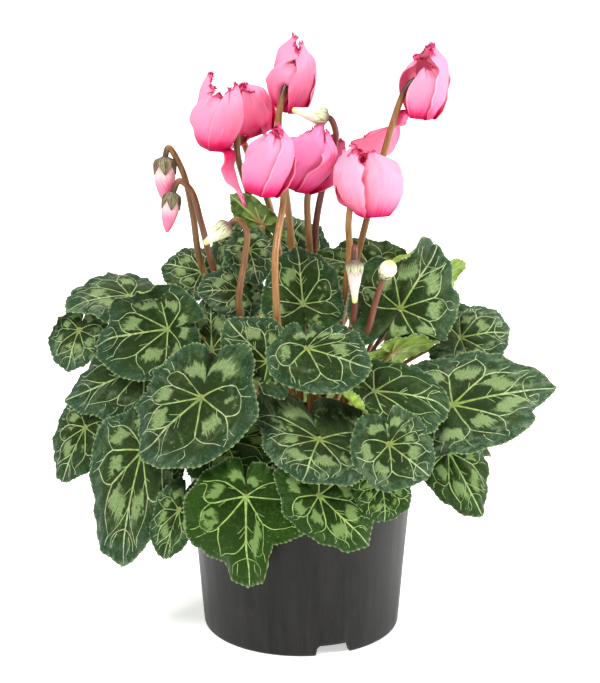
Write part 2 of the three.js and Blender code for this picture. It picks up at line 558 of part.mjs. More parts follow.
function tuberProfile(grow) {
  const points = [[0, TUBER_BOTTOM - grow]];
  for (const degrees of TUBER_LATITUDES) {
    const angle = THREE.MathUtils.degToRad(degrees);
    const reach = (degrees < 0 ? TUBER_MIDDLE - TUBER_BOTTOM : TUBER_TOP - TUBER_MIDDLE) + grow;
    points.push([(TUBER_RADIUS + grow) * Math.cos(angle), TUBER_MIDDLE + reach * Math.sin(angle)]);
  }
  points.push([0, TUBER_TOP + grow]);
  return points;
}

function makeSoil() {
  const bottom = FLOOR_UNDER + FLOOR_THICK + CLEARANCE;
  const wallAt = (height) => FOOT_RADIUS + WALL_TAPER * height - POT_WALL - 2 * CLEARANCE;
  const profile = [
    [0, bottom], [wallAt(bottom) - SOIL_CHAMFER, bottom],
    [wallAt(bottom + SOIL_CHAMFER), bottom + SOIL_CHAMFER],
    [wallAt(SOIL_EDGE), SOIL_EDGE], [wallAt(SOIL_EDGE) - SOIL_SHOULDER, SOIL_EDGE + SOIL_RISE],
    [TUBER_RADIUS, SOIL_MIDDLE], [0, SOIL_MIDDLE],
  ];
  const geometry = turned(profile, SOIL_SIDES);
  const positions = geometry.getAttribute("position");
  for (let i = 0; i < positions.count; i += 1) {
    const x = positions.getX(i);
    const y = positions.getY(i);
    const z = positions.getZ(i);
    const bump = SOIL_BUMP * Math.sin(x * SOIL_BUMP_RATE) * Math.cos(y * SOIL_BUMP_RATE);
    if (z > SOIL_EDGE + SOIL_RISE / 3) positions.setZ(i, z + bump);
  }
  return solid(geometry).subtract(solid(turned(tuberProfile(CLEARANCE), TUBER_SIDES)));
}

// Turned frame of a bloom: up is its middle line, out and across lie in the mouth's plane.
function bloomFrame(bloom) {
  const up = vec(bloom.lean).normalize();
  const angle = THREE.MathUtils.degToRad(bloom.side);
  const out = new THREE.Vector3(Math.cos(angle), Math.sin(angle), 0);
  out.addScaledVector(up, -out.dot(up)).normalize();
  const across = new THREE.Vector3().crossVectors(up, out);
  return { nose: vec(bloom.nose), up, out, across };
}

// A point of a petal: row from the mouth to the tip, column from one edge to the other.
function petalPoint(bloom, frame, petal, along, over) {
  const place = along * (PETAL_LINE.length - 1);
  const line = (axis) => between(PETAL_LINE.map((p, i) => [i, p[axis]]), place);
  const unlike = Math.sin(petal * PETAL_UNLIKE_RATE + bloom.nose[0]);
  let radius = line(0);
  const longer = bloom.reach[petal] - 1 + PETAL_UNLIKE * unlike - PETAL_POINT * over * over;
  let height = line(1) * (1 + longer * along);
  const opening = bloom.open[petal] + OPEN_UNLIKE * Math.sin(petal * OPEN_UNLIKE_RATE + bloom.nose[0]);
  const opened = THREE.MathUtils.clamp(OPEN_SLOPE * along - OPEN_DELAY, 0, 1);
  const open = THREE.MathUtils.degToRad(opening) * opened;
  const [pivotRadius, pivotHeight] = PETAL_LINE[1];
  const [dr, dh] = [radius - pivotRadius, height - pivotHeight];
  radius = pivotRadius + dr * Math.cos(open) + dh * Math.sin(open);
  height = pivotHeight + dh * Math.cos(open) - dr * Math.sin(open);
  const half = between(PETAL_HALF_WIDTHS.map((w, i) => [i, w]), place);
  const sideways = over * half;
  const ruffle = along === 1 ? RUFFLE * Math.cos(over * Math.PI * RUFFLE_WAVES) : 0;
  const bend = (sideways * sideways) / (2 * PETAL_BEND);
  const outside = SHINGLE * (bloom.lap ?? -1) * over;
  const away = radius + (outside - bend) * Math.min(1, along * SPREAD_SLOPE) + ruffle;
  const twist = bloom.open[petal] > HANGING ? HANGING_TWIST : bloom.twist;
  const angle = THREE.MathUtils.degToRad(((petal + 0.5) * 360) / BLOOM_PETALS + twist * along);
  const radial = frame.out.clone().multiplyScalar(Math.cos(angle));
  radial.addScaledVector(frame.across, Math.sin(angle));
  const tangent = frame.across.clone().multiplyScalar(Math.cos(angle));
  tangent.addScaledVector(frame.out, -Math.sin(angle));
  if (bloom.open[petal] > HANGING) {
    const spin = THREE.MathUtils.degToRad(HANGING_TURN) * Math.min(1, along * HANGING_SLOPE);
    tangent.multiplyScalar(Math.cos(spin)).addScaledVector(frame.up, Math.sin(spin));
  }
  return frame.nose.clone()
    .addScaledVector(radial, away * bloom.size * bloom.girth)
    .addScaledVector(tangent, sideways * bloom.size * bloom.girth)
    .addScaledVector(frame.up, height * bloom.size);
}

// A bloom is one sheet: a disc under the calyx, the throat round it, and at the mouth five petals
// that turn back. Both faces have the same triangles, and a strip closes every edge.
function corollaGeometry(bloom, frame, thick) {
  const around = BLOOM_PETALS * PETAL_COLUMNS;
  const turn = (column) => THREE.MathUtils.degToRad(((column / PETAL_COLUMNS) * 360) / BLOOM_PETALS);
  const girth = bloom.size * bloom.girth;
  const throatPoint = (row, column) => {
    const [radius, height] = THROAT[row];
    return frame.nose.clone()
      .addScaledVector(frame.out, radius * girth * Math.cos(turn(column)))
      .addScaledVector(frame.across, radius * girth * Math.sin(turn(column)))
      .addScaledVector(frame.up, height * bloom.size);
  };
  const points = [frame.nose.clone().addScaledVector(frame.up, THROAT[0][1] * bloom.size)];
  const ring = (row, column) => 1 + row * around + (column % around);
  for (let row = 0; row < THROAT.length; row += 1) {
    for (let column = 0; column < around; column += 1) points.push(throatPoint(row, column));
  }
  const faces = [];
  for (let column = 0; column < around; column += 1) {
    faces.push([0, ring(0, column + 1), ring(0, column)]);
    for (let row = 0; row + 1 < THROAT.length; row += 1) {
      const [a, b] = [ring(row, column), ring(row, column + 1)];
      const [c, d] = [ring(row + 1, column), ring(row + 1, column + 1)];
      faces.push([a, b, d], [a, d, c]);
    }
  }
  const edges = [];
  const mouth = THROAT.length - 1;
  for (let petal = 0; petal < BLOOM_PETALS; petal += 1) {
    const start = points.length;
    const at = (row, column) => {
      if (row === 0) return ring(mouth, petal * PETAL_COLUMNS + column);
      return start + (row - 1) * (PETAL_COLUMNS + 1) + column;
    };
    for (let row = 1; row <= PETAL_ROWS; row += 1) {
      for (let column = 0; column <= PETAL_COLUMNS; column += 1) {
        points.push(petalPoint(bloom, frame, petal, row / PETAL_ROWS, -1 + (2 * column) / PETAL_COLUMNS));
      }
    }
    for (let row = 0; row < PETAL_ROWS; row += 1) {
      for (let column = 0; column < PETAL_COLUMNS; column += 1) {
        const [a, b] = [at(row, column), at(row, column + 1)];
        const [c, d] = [at(row + 1, column), at(row + 1, column + 1)];
        faces.push([a, b, d], [a, d, c]);
      }
      edges.push([at(row + 1, 0), at(row, 0)], [at(row, PETAL_COLUMNS), at(row + 1, PETAL_COLUMNS)]);
    }
    for (let column = 0; column < PETAL_COLUMNS; column += 1) {
      edges.push([at(PETAL_ROWS, column + 1), at(PETAL_ROWS, column)]);
    }
  }
  const normals = points.map(() => new THREE.Vector3());
  for (const face of faces) {
    const [a, b, c] = face.map((i) => points[i]);
    const normal = new THREE.Vector3().crossVectors(b.clone().sub(a), c.clone().sub(a));
    face.forEach((i) => normals[i].add(normal));
  }
  const positions = [];
  for (const half of [thick / 2, -thick / 2]) {
    points.forEach((p, i) => {
      const q = p.clone().addScaledVector(normals[i].clone().normalize(), half);
      positions.push(q.x, q.y, q.z);
    });
  }
  const index = [];
  const under = points.length;
  for (const [a, b, c] of faces) index.push(a, b, c, under + a, under + c, under + b);
  for (const [a, b] of edges) index.push(b, a, under + a, b, under + a, under + b);
  const geometry = new THREE.BufferGeometry();
  geometry.setAttribute("position", new THREE.Float32BufferAttribute(positions, 3));
  geometry.setIndex(index);
  return geometry;
}

function makeBloom(bloom) {
  return solid(corollaGeometry(bloom, bloomFrame(bloom), PETAL_THICK));
}

// Points of a flower stalk: up its path, past the bloom's mouth, over in a hook and into the calyx.
function bloomStalkPoints(bloom, root) {
  const frame = bloomFrame(bloom);
  const size = bloom.size;
  const at = (out, up) => frame.nose.clone().addScaledVector(frame.out, out).addScaledVector(frame.up, up);
  const hook = HOOK.map(([out, up]) => at(out, THROAT_TOP * size + up));
  const calyx = at(0, THROAT_TOP * size + PETAL_THICK / 2 + CLEARANCE);
  return {
    points: [root, ...bloom.path.map(vec), at(PASS[0] * size, PASS[1]), ...hook],
    calyx: stand(turned(CALYX.map(([r, h]) => [r * size, h * size]), BUD_SIDES), calyx, frame.up),
  };
}

// Flower stalks stand in a ring in the order in which their first points lie round the plant.
function flowerRoots() {
  const members = [...BLOOMS, ...BUDS];
  const heading = (flower) => Math.atan2(flower.path[0][1], flower.path[0][0]);
  members.sort((a, b) => heading(a) - heading(b));
  const step = (2 * Math.PI) / members.length;
  const slack = members.map((flower, i) => heading(flower) - i * step);
  const start = slack.reduce((sum, value) => sum + value, 0) / members.length;
  const roots = {};
  members.forEach((flower, i) => {
    const angle = start + i * step;
    const root = new THREE.Vector3(Math.cos(angle), Math.sin(angle), 0).multiplyScalar(RING_RADIUS.flower);
    roots[flower.name] = root.setZ(TUBER_TOP - ROOT_DEPTH);
  });
  return roots;
}

// A bud's calyx: a cup of sepals about the foot of the rolled petals, on the end of the stalk.
function budCalyx(bud, frame) {
  const inner = bud.radius + CLEARANCE;
  const outer = inner + SEPAL_WALL;
  const cup = [
    [0, -CALYX_NECK], [outer, 0.5], [outer, SEPAL_LENGTH], [inner, SEPAL_LENGTH], [inner, -CLEARANCE],
    [0, -2 * CLEARANCE],
  ];
  return stand(turned(cup, BUD_SIDES), frame.base, frame.along);
}

function budFrame(bud) {
  const base = vec(bud.base);
  const along = vec(bud.point).sub(base);
  return { base, length: along.length() + SEPAL_LENGTH, along: along.normalize() };
}

// The rolled petals of a bud, closed to a point.
function makeBud(bud) {
  const frame = budFrame(bud);
  const profile = BUD_SHAPE.map(([share, place]) => [share * bud.radius, place * frame.length]);
  return solid(stand(turned(profile, BUD_SIDES), frame.base, frame.along));
}

function budStalkPoints(bud, root) {
  const frame = budFrame(bud);
  const end = frame.base.clone().addScaledVector(frame.along, -BUD_STALK_END);
  return { points: [root, ...bud.path.map(vec), vec(bud.hook), end], calyx: budCalyx(bud, frame) };
}

// The tuber with every flower stalk and calyx, one grown body; grow gives the same stalks thicker.
function flowerStalks(grow) {
  const roots = flowerRoots();
  const parts = [];
  for (const flower of [...BLOOMS, ...BUDS]) {
    const make = flower.nose ? bloomStalkPoints : budStalkPoints;
    const { points, calyx } = make(flower, roots[flower.name]);
    const curve = new StalkCurve(points, false, "centripetal");
    const stalk = solid(rod(curve, FLOWER_STALK_RADIUS + grow, STALK_SIDES, points.length - 1));
    parts.push(grow ? stalk : stalk.add(solid(calyx)));
  }
  return parts;
}

function material(colour, roughness) {
  return new THREE.MeshStandardMaterial({ color: colour, roughness, metalness: 0 });
}

const MATERIALS = {
  pot: material(0x3a3836, 0.5),
  soil: material(0x3a2a1e, 0.95),
  stalk: material(0x7a4f2c, 0.6),
  leaf: material(0x35553a, 0.5),
  petal: material(0xf58ab5, 0.55),
  palePetal: material(0xf6eed2, 0.55),
};

const plant = new THREE.Group();

function place(name, body, finish) {
  const mesh = new THREE.Mesh(geometryOf(body), MATERIALS[finish]);
  mesh.name = name;
  plant.add(mesh);
}

const tuber = solid(turned(tuberProfile(0), TUBER_SIDES));
const bareStalks = flowerStalks(0);
const thickStalks = flowerStalks(CLEARANCE);
place("pot", makePot(), "pot");
place("soil", makeSoil(), "soil");
const crown = bareStalks.reduce((body, stalk) => body.add(stalk), tuber);
place("tuber_and_flower_stalks", largest(crown), "stalk");
const blooms = BLOOMS.map(makeBloom);
BLOOMS.forEach((bloom, i) => {
  const meets = (stalk) => blooms[i].intersect(stalk).volume() > 0;
  const cleared = thickStalks.filter(meets).reduce((body, stalk) => body.subtract(stalk), blooms[i]);
  place(bloom.name, largest(cleared), "petal");
});
for (const bud of BUDS) place(bud.name, makeBud(bud), bud.finish);

// A leaf's stalk ends on the tuber. A blade that another leaf's or a flower's stalk passes is
// notched round it, and a blade that meets one nearer to the viewer ends just short of it.
const tuberHollow = solid(turned(tuberProfile(CLEARANCE), TUBER_SIDES));
function stalkOf(leaf, grow) {
  const stalk = solid(rod(leafStalkCurve(leaf), LEAF_STALK_RADIUS + grow, STALK_SIDES, LEAF_STALK_STEPS));
  return stalk.subtract(tuberHollow);
}

const leafStalks = LEAVES.map((leaf) => stalkOf(leaf, 0));
const thickLeafStalks = LEAVES.map((leaf) => stalkOf(leaf, CLEARANCE));
const blades = LEAVES.map((leaf) => solid(bladeGeometry(leaf, 0)));
const thickBlades = LEAVES.map((leaf) => solid(bladeGeometry(leaf, CLEARANCE)));
const BEHIND_ALL = 1000;
const rank = LEAVES.map((leaf) => (leaf.name.includes("back") ? BEHIND_ALL : 0) + leaf.hub[1]);
LEAVES.forEach((leaf, i) => {
  let blade = blades[i];
  const cut = (other) => {
    if (blade.intersect(other).volume() > 0) blade = blade.subtract(other);
  };
  thickStalks.forEach(cut);
  thickLeafStalks.forEach((stalk, k) => {
    if (k !== i) cut(stalk);
  });
  thickBlades.forEach((other, k) => {
    if (rank[k] < rank[i]) cut(other);
  });
  place(leaf.name, largest(blade.add(leafStalks[i])), "leaf");
});

export default plant;
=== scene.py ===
"""The looks of a potted cyclamen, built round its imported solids. Lengths are in millimetres until
a mesh is made, and the frame is the part's own: +Z up, +X right, +Y away from the viewer."""

import math

import bpy
import numpy as np
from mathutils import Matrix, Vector


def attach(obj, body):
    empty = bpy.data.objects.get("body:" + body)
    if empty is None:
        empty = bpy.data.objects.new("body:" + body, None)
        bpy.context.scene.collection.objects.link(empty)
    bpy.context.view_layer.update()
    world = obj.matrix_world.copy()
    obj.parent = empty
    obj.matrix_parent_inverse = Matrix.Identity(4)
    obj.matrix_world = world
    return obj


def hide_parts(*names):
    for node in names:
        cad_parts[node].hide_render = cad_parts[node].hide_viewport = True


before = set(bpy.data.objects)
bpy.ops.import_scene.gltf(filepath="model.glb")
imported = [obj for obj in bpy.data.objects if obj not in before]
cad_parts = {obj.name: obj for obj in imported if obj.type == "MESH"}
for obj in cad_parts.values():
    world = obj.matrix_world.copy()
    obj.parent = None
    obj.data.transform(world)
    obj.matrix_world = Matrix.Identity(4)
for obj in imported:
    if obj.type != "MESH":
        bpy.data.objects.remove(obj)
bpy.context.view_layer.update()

MM = 0.001
UP = np.array([0.0, 0.0, 1.0])
FULL_TURN = 2 * math.pi

# The driving dimensions of the part's source, in millimetres. First the pot
POT_HEIGHT = 105
FOOT_RADIUS = 53
WALL_TAPER = 0.082  # outward run of the wall for each millimetre of height
POT_WALL = 1.4
RIM_DEPTH = 13
RIM_PROUD = 1.1
FOOT_RING = 4.5
FLOOR_UNDER = 3.5
FLOOR_THICK = 1.4
NOTCH_WIDTH = 20
NOTCH_HEIGHT = 6.2
NOTCH_DEPTH = 9
NOTCH_COUNT = 3
NOTCH_SLOPE = 1.2  # how much further in a notch's sides are at its top
FIRST_NOTCH = 19  # degrees to the right of the front

# Soil and tuber
SOIL_EDGE = 91
TUBER_RADIUS = 28
TUBER_TOP = 101
TUBER_MIDDLE = 88
TUBER_BOTTOM = 68
ROOT_DEPTH = 5  # how far a flower stalk's end is sunk in the tuber

# Stalks grow from rings on the tuber: flowers inside, then upper, middle and lower leaves
RING_RADIUS = dict(flower=9, upper=13.8, middle=18.6, lower=23.4)
STALK_RISE = dict(upper=48, middle=38, lower=26)
STALK_LEAN = 18
STALK_REACH = 24  # length of the bend with which a leaf's stalk comes to its hub

# Half outline of a blade: degrees from the tip, and the share of the blade's length there
HEART = [
    [0, 1], [20, 0.93], [42, 0.82], [66, 0.75], [90, 0.72], [114, 0.7], [138, 0.68], [156, 0.67],
    [168, 0.62], [174, 0.5], [180, 0.09],
]
HEART_HALF_WIDTH = 0.72
ROLL_START = 0.55  # share of the radius beyond which a rolled margin leaves the blade
ROLL_RADIUS = 0.13  # radius of that roll, as a share of the blade's length
EVEN_LEAF = dict(
    arch=0.07, fold=0.12, droop=0.2, lobes=0.3, wave=0.05, waves=3, phase=0, back=1, skew=0,
    roll=None, trim=None, arrive=None,
)

# A petal's line on the bloom's side as [radius, height], and its half widths along that line
BLOOM_PETALS = 5
PETAL_LINE = [[7, 1.6], [9.2, -0.6], [11.4, 5], [13.4, 14], [11.8, 25], [7, 35]]
PETAL_HALF_WIDTHS = [4.4, 5.8, 8.8, 12, 11.6, 6]
PETAL_POINT = 0.18  # how much a petal's middle is longer than its sides
PETAL_UNLIKE = 0.04  # share by which the petals of a bloom differ in length
PETAL_BEND = 14  # radius of a petal's bend from side to side
SHINGLE = 1.7  # how far one side of a petal stands out over its neighbour
RUFFLE = 1.1
HANGING = 90  # degrees of opening beyond which a petal hangs down
HANGING_TWIST = 20  # degrees by which it winds round the bloom
HANGING_TURN = 62  # degrees by which its face turns aside
# Section of the tube between the calyx and the mouth, as [radius, height]
THROAT = [[4.6, 10], [5.6, 5.5], [7, 1.6]]
THROAT_TOP = 10
SEPAL_LENGTH = 5
EVEN_BLOOM = dict(
    size=1, girth=1, aside=[0] * BLOOM_PETALS, lap=-1, shut=6.2, bulge=1, slim=0, spin=1,
    pale=0.1, lilac=0.1, tan=0.15, maroon=0.1,
)

# Outlines of buds: share of a bud's radius at these shares of its length
BUD_PLACES = [0, 0.06, 0.18, 0.35, 0.5, 0.65, 0.8, 0.94, 0.98, 1.0]
FULL_BUD = [0.72, 0.93, 1.0, 0.98, 0.92, 0.76, 0.56, 0.28, 0.2, 0.02]
FLASK = [0.7, 0.88, 0.96, 0.86, 0.7, 0.54, 0.42, 0.34, 0.3, 0.02]
BALL = [0.2, 0.5, 0.76, 0.94, 1.0, 0.95, 0.79, 0.46, 0.26, 0.02]
EVEN_BUD = dict(look="cream", outline=FLASK, tan=0.15, maroon=0.1, light=0)


def leaf_row(name, ring, hub, tip, face, width, **more):
    """One leaf. hub is where the stalk joins the blade, tip is the blade's point, and face is the
    way its upper side looks. back stretches the lobes behind the hub, skew turns the cleft between
    them in degrees, roll is a margin that rolls over as [degrees from the tip, spread], and trim is
    a list of [degrees from the tip, share of the even outline]. arrive is the way the stalk comes
    in where it isn't behind. silver, green and patches are shares of those markings. Leaves that
    don't give them have full patches, and silver and green drawn at random."""
    return dict(
        name="leaf_" + name, ring=ring, hub=np.array(hub, float), tip=np.array(tip, float),
        face=face, width=width, **{**EVEN_LEAF, **more},
    )


def bloom_row(name, nose, lean, side, **more):
    """One bloom. nose is the middle of its mouth, lean its axis, side the way its stalk comes in in
    degrees, open each petal's opening in degrees, reach its share of the even length and aside its
    turn from its even place. twist is how far the others wind round the bloom, in degrees, lap the
    side on which petals overlap and shut how far their tips close, while bulge, slim and spin shape a
    hanging petal. path is the stalk's way up. pale and lilac are shares of those pinks, tan and
    maroon of the stalk's colours."""
    return dict(
        name="bloom_" + name, nose=np.array(nose, float), lean=lean, side=side, **{**EVEN_BLOOM, **more}
    )


def bud_row(name, base, point, radius, **more):
    """One bud, from its base to its point. hook is the top of its stalk and path the way up to it.
    tan and maroon are shares of the stalk's colours, and light is the share of a light calyx."""
    return dict(
        name="bud_" + name, base=np.array(base, float), point=np.array(point, float), radius=radius,
        **{**EVEN_BUD, **more},
    )


LEAVES = [
    leaf_row("top_young", "upper", [-21, 9, 221], [-37, 2, 238], [-0.5, 0.6, 0.5], 17, fold=0.5,
        arrive=[-0.15, 0.05, 1]),
    leaf_row("top_centre_back", "upper", [-1, 30, 200], [-8, 46, 216], [0, -0.8, 0.6], 34, roll=[70, 50],
        silver=0.7),
    leaf_row("top_left_face", "upper", [-27, -8, 211], [-22, -22, 196], [0.1, -0.9, 0.45], 27, silver=0.5),
    leaf_row("top_left_small", "upper", [-34, 8, 213], [-42, -4, 201], [-0.3, -0.9, 0.4], 24, silver=0.6),
    leaf_row("top_left_low", "upper", [-32, -20, 192], [-54, -26, 193], [-0.1, -0.75, 0.65], 30, phase=1,
        silver=0.8),
    leaf_row("top_left_back", "upper", [-54, 34, 188], [-76, 42, 190], [-0.1, -0.6, 0.8], 34),
    leaf_row("top_centre", "upper", [1, -38, 190], [-2, -10, 212], [0, -0.75, 0.65], 42, phase=2,
        green=0.35, patches=0.7),
    leaf_row("top_right_back", "upper", [39, 10, 193], [6, 30, 198], [0.1, -0.7, 0.7], 44, roll=[100, 45],
        green=0.9),
    leaf_row("top_right_face", "upper", [51, -32, 186], [71, 0, 210], [0.25, -0.75, 0.55], 58,
        roll=[40, 35], phase=1, silver=0.3, green=0.15, patches=0.8),
    leaf_row("top_right_behind", "upper", [72, 32, 181], [90, 41, 191], [0.3, 0.75, 0.5], 26),
    leaf_row("left_outer", "middle", [-92, 14, 180], [-125, -2, 177], [-0.2, -0.5, 0.85], 42, silver=1),
    leaf_row("left_tip", "middle", [-118, 0, 165], [-124, -10, 145], [-0.35, -0.85, 0.2], 32,
        roll=[-110, 60], silver=1.1),
    leaf_row("left_broad", "upper", [-68, -46, 179], [-107, -26, 165], [-0.3, -0.8, 0.5], 54,
        roll=[-70, 45], back=0.68),
    leaf_row("left_inner", "upper", [-46, -44, 167], [-47, -18, 187], [0, -0.75, 0.65], 36, phase=2,
        silver=0.6),
    leaf_row("left_middle", "middle", [-81, -35, 155], [-122, -14, 129], [-0.4, -0.8, 0.45], 44, phase=1,
        silver=0.5, patches=0.6),
    leaf_row("left_hanging", "lower", [-114, -22, 118], [-127, -24, 88], [-0.35, -0.9, 0.2], 30),
    leaf_row("left_long", "lower", [-82, -50, 115], [-94, -46, 49], [-0.35, -0.9, 0.05], 52, fold=0.3,
        phase=1, back=0.64,
        trim=[[-180, 1], [-60, 1], [0, 1], [50, 0.86], [90, 0.72], [130, 0.8], [180, 0.9]], silver=0.5),
    leaf_row("left_low_small", "lower", [-75, -44, 102], [-79, -48, 73], [0.1, -0.95, 0.1], 27, green=0.6),
    leaf_row("left_low_twisted", "lower", [-63, -64, 87], [-71, -68, 62], [-0.3, -0.9, 0.1], 25, fold=0.4,
        phase=2, arrive=[-0.5, -0.5, -0.9], rise=40, silver=0.8, green=0.4),
    leaf_row("front_left_broad", "middle", [-50, -76, 152], [-82, -64, 117], [-0.1, -0.85, 0.5], 56,
        skew=42),
    leaf_row("front_upright", "upper", [-17, -70, 169], [-38, -60, 187], [0, -0.85, 0.45], 38, phase=1,
        roll=[100, 50]),
    leaf_row("front_heart", "upper", [3, -80, 179], [35, -78, 167], [0.05, -0.85, 0.5], 42, skew=-70,
        back=0.66, silver=0.5, patches=0.8),
    leaf_row("front_shaded", "middle", [-39, -56, 122], [-30, -76, 106], [0, -0.6, 0.8], 54, phase=2,
        back=1.2, green=0.8),
    # front_wide's silver share is raised to lighten it where it lies in shade: painted light over its real
    # silver markings
    leaf_row("front_wide", "middle", [9, -80, 131], [0, -93, 113], [0, -0.75, 0.65], 62, phase=1, back=1.6,
        skew=24, silver=0.8),
    leaf_row("front_right_wide", "upper", [37, -66, 152], [77, -52, 138], [0.1, -0.5, 0.86], 50,
        roll=[-150, 60], green=0.35, patches=0.4),
    leaf_row("front_right", "middle", [44, -84, 130], [64, -82, 112], [0.1, -0.9, 0.4], 42, phase=1,
        skew=-40, silver=0.5),
    leaf_row("rim_left", "lower", [-28, -78, 100], [-27, -71, 48], [-0.1, -0.95, 0.2], 62,
        trim=[[-180, 0.6], [-140, 0.62], [-112, 0.82], [-86, 1], [-70, 1.08], [-50, 1.06], [-34, 0.93],
            [-22, 0.92], [-13, 1], [0, 1], [13, 0.97], [22, 0.74], [34, 0.68], [52, 0.84], [66, 1.08],
            [86, 1], [112, 0.82], [140, 0.62], [180, 0.6]],
        green=1, patches=0.66),
    leaf_row("rim_small", "lower", [-8, -74, 103], [-21, -79, 86], [0, -0.9, 0.4], 27, phase=1, silver=0.6,
        green=0.3),
    leaf_row("rim_centre", "lower", [9, -82, 102], [34, -77, 74], [0.1, -0.93, 0.3], 39, phase=2,
        green=0.8),
    leaf_row("rim_right", "lower", [41, -78, 106], [43, -75, 85], [0.15, -0.93, 0.3], 32, green=0.8),
    leaf_row("right_upper", "middle", [84, -10, 164], [111, 2, 164], [0.35, -0.75, 0.55], 38, phase=1,
        silver=1.5),
    leaf_row("right_broad", "middle", [78, -48, 139], [133, -20, 140], [0.15, -0.8, 0.55], 54,
        trim=[[-180, 1], [-62, 1], [-24, 0.9], [0, 1.03], [24, 0.88], [62, 1], [180, 1]], silver=0.8),
    leaf_row("right_underside", "middle", [47, -34, 163], [72, -28, 166], [0, 0.7, 0.7], 30, green=0.8),
    leaf_row("right_hanging", "lower", [76, -48, 114], [93, -44, 77], [0.35, -0.9, 0.2], 36, phase=2,
        green=0.6),
    leaf_row("right_shaded", "lower", [66, -36, 128], [80, -46, 112], [0.4, -0.8, 0.45], 34, green=0.6),
    leaf_row("back_right", "middle", [76, 46, 150], [110, 62, 134], [0.55, 0.35, 0.75], 56),
    leaf_row("back_right_low", "lower", [78, 22, 112], [104, 28, 84], [0.8, 0.15, 0.55], 50, phase=1),
    leaf_row("back_right_inner", "middle", [36, 62, 168], [54, 84, 154], [0.3, 0.55, 0.75], 52, phase=2),
    leaf_row("back_middle", "middle", [-14, 66, 160], [-10, 97, 142], [0, 0.6, 0.8], 58),
    leaf_row("back_middle_low", "lower", [14, 74, 112], [18, 94, 76], [0.1, 0.9, 0.4], 56, phase=1),
    leaf_row("back_left_low", "lower", [-46, 64, 110], [-62, 82, 76], [-0.5, 0.75, 0.4], 52, phase=2),
    leaf_row("back_right_corner", "lower", [56, 58, 104], [76, 78, 72], [0.55, 0.7, 0.4], 50),
    leaf_row("back_left", "middle", [-66, 50, 156], [-96, 72, 138], [-0.5, 0.4, 0.75], 56, phase=1),
    leaf_row("back_left_outer", "lower", [-84, 26, 120], [-112, 38, 92], [-0.75, 0.25, 0.6], 50),
]
BLOOMS = [
    bloom_row("left", [-44, -5, 265], [0.12, 0, 1], 20, size=0.95, girth=0.88, open=[0, 4, 6, 4, 156],
        aside=[0, 0, 0, 0, -24], slim=0.3, spin=0, bulge=0.15, shut=2.5,
        reach=[0.82, 1.08, 0.94, 1.02, 0.84], twist=42, pale=0.25, maroon=0.3,
        path=[[-11, 8, 150], [-22, 13, 186], [-27, 16, 231]]),
    bloom_row("back_left", [-22, 29, 266], [-0.4, 0.1, 0.95], 200, size=0.8,
        open=[30, 0, 0, 6, 76], reach=[1, 1.02, 0.9, 0.85, 0.9], twist=40, pale=-0.7,
        path=[[-6, 12, 150], [-16, 21, 225]]),
    bloom_row("top", [-5, 20, 280], [0.08, 0, 1], 240, girth=0.8, open=[0, 0, -6, -4, 8],
        aside=[10, 6, 0, -4, -8], reach=[0.96, 1, 1.02, 1.06, 0.84], twist=34, pale=0.2, lilac=0.2,
        tan=0.5, path=[[-1, 10, 150], [-6, 12, 220]]),
    bloom_row("front_centre", [-19, -44, 250], [0.16, 0, 1], 30, size=0.95, girth=0.9,
        open=[0, 0, 2, 0, 0], shut=5, reach=[0.84, 0.84, 1, 1.03, 0.94], twist=70, pale=0.35, lilac=0.45,
        tan=0.9, path=[[-4, -11, 130], [-10, -40, 165], [-12, -55, 186], [-13, -52, 220]]),
    bloom_row("front_right_of_centre", [-3, -8, 245], [0.35, 0, 0.9], 45, size=0.95,
        open=[0, 0, 0, 4, 26], reach=[0.86, 0.84, 1.02, 1.02, 0.96], twist=44, lilac=0.9, tan=0.5,
        path=[[5, 6, 130], [5, 4, 200]]),
    bloom_row("right", [37, -24, 235], [-0.06, 0, 1], 170, girth=1.08, open=[16, 0, -4, -4, 8],
        reach=[1, 0.86, 0.92, 0.92, 0.94], twist=20, lap=1, pale=0.9, tan=0.6,
        path=[[12, -2, 130], [20, -16, 170], [25, -18, 212]]),
    bloom_row("top_right", [61, 0, 281], [0.14, 0, 1], 190, girth=0.9, open=[2, -3, -6, 8, 130],
        aside=[40, 24, 12, 6, 0], reach=[0.8, 1.04, 1.06, 0.9, 0.92], twist=24, pale=0.7, lilac=0.35,
        tan=0.5, path=[[12, 3, 130], [26, 0, 190], [35, 0, 228]]),
]
BUDS = [
    bud_row("left_upper", [-71, 0, 256], [-71, -2, 240], 5.4, hook=[-69, 0, 264], look="pink",
        outline=FULL_BUD, maroon=0.3,
        path=[[-12, 2, 130], [-40, 2, 172], [-53, 1, 202], [-57, 0, 230], [-62, 0, 252]]),
    bud_row("left_lower", [-67, -12, 240], [-69, -14, 227], 4.4, hook=[-63, -12, 249], look="pink",
        outline=FULL_BUD, maroon=0.7,
        path=[[-12, -2, 135], [-35, -3, 174], [-46, -9, 202], [-52, -12, 227], [-57, -12, 244]]),
    bud_row("white_left", [-39, -28, 228], [-46, -30, 223], 4.2, hook=[-33, -27, 232], tan=0.35,
        maroon=0.45, light=1,
        path=[[-8, -9, 130], [-24, -28, 165], [-32, -36, 188], [-29, -30, 212], [-28, -27, 226]]),
    bud_row("white_top", [11, -4, 281], [0, -6, 284], 4.4, hook=[15, -3, 280], maroon=1, light=1,
        path=[[6, 8, 150], [8, 6, 223], [15, 0, 258], [18, -3, 272]]),
    bud_row("drooping", [27, -52, 214], [27, -54, 200], 3.8, hook=[27, -50, 223], look="blush", maroon=0.9,
        light=0.75, path=[[8, -10, 130], [22, -34, 165], [27, -44, 186], [27, -43, 210], [27, -45, 220]]),
    bud_row("round", [42, -46, 207], [44, -47, 211], 4.4, hook=[41, -46, 204], outline=BALL, maroon=0.9,
        light=0.9, path=[[11, -6, 130], [26, -30, 158], [34, -45, 178], [38, -46, 194]]),
]


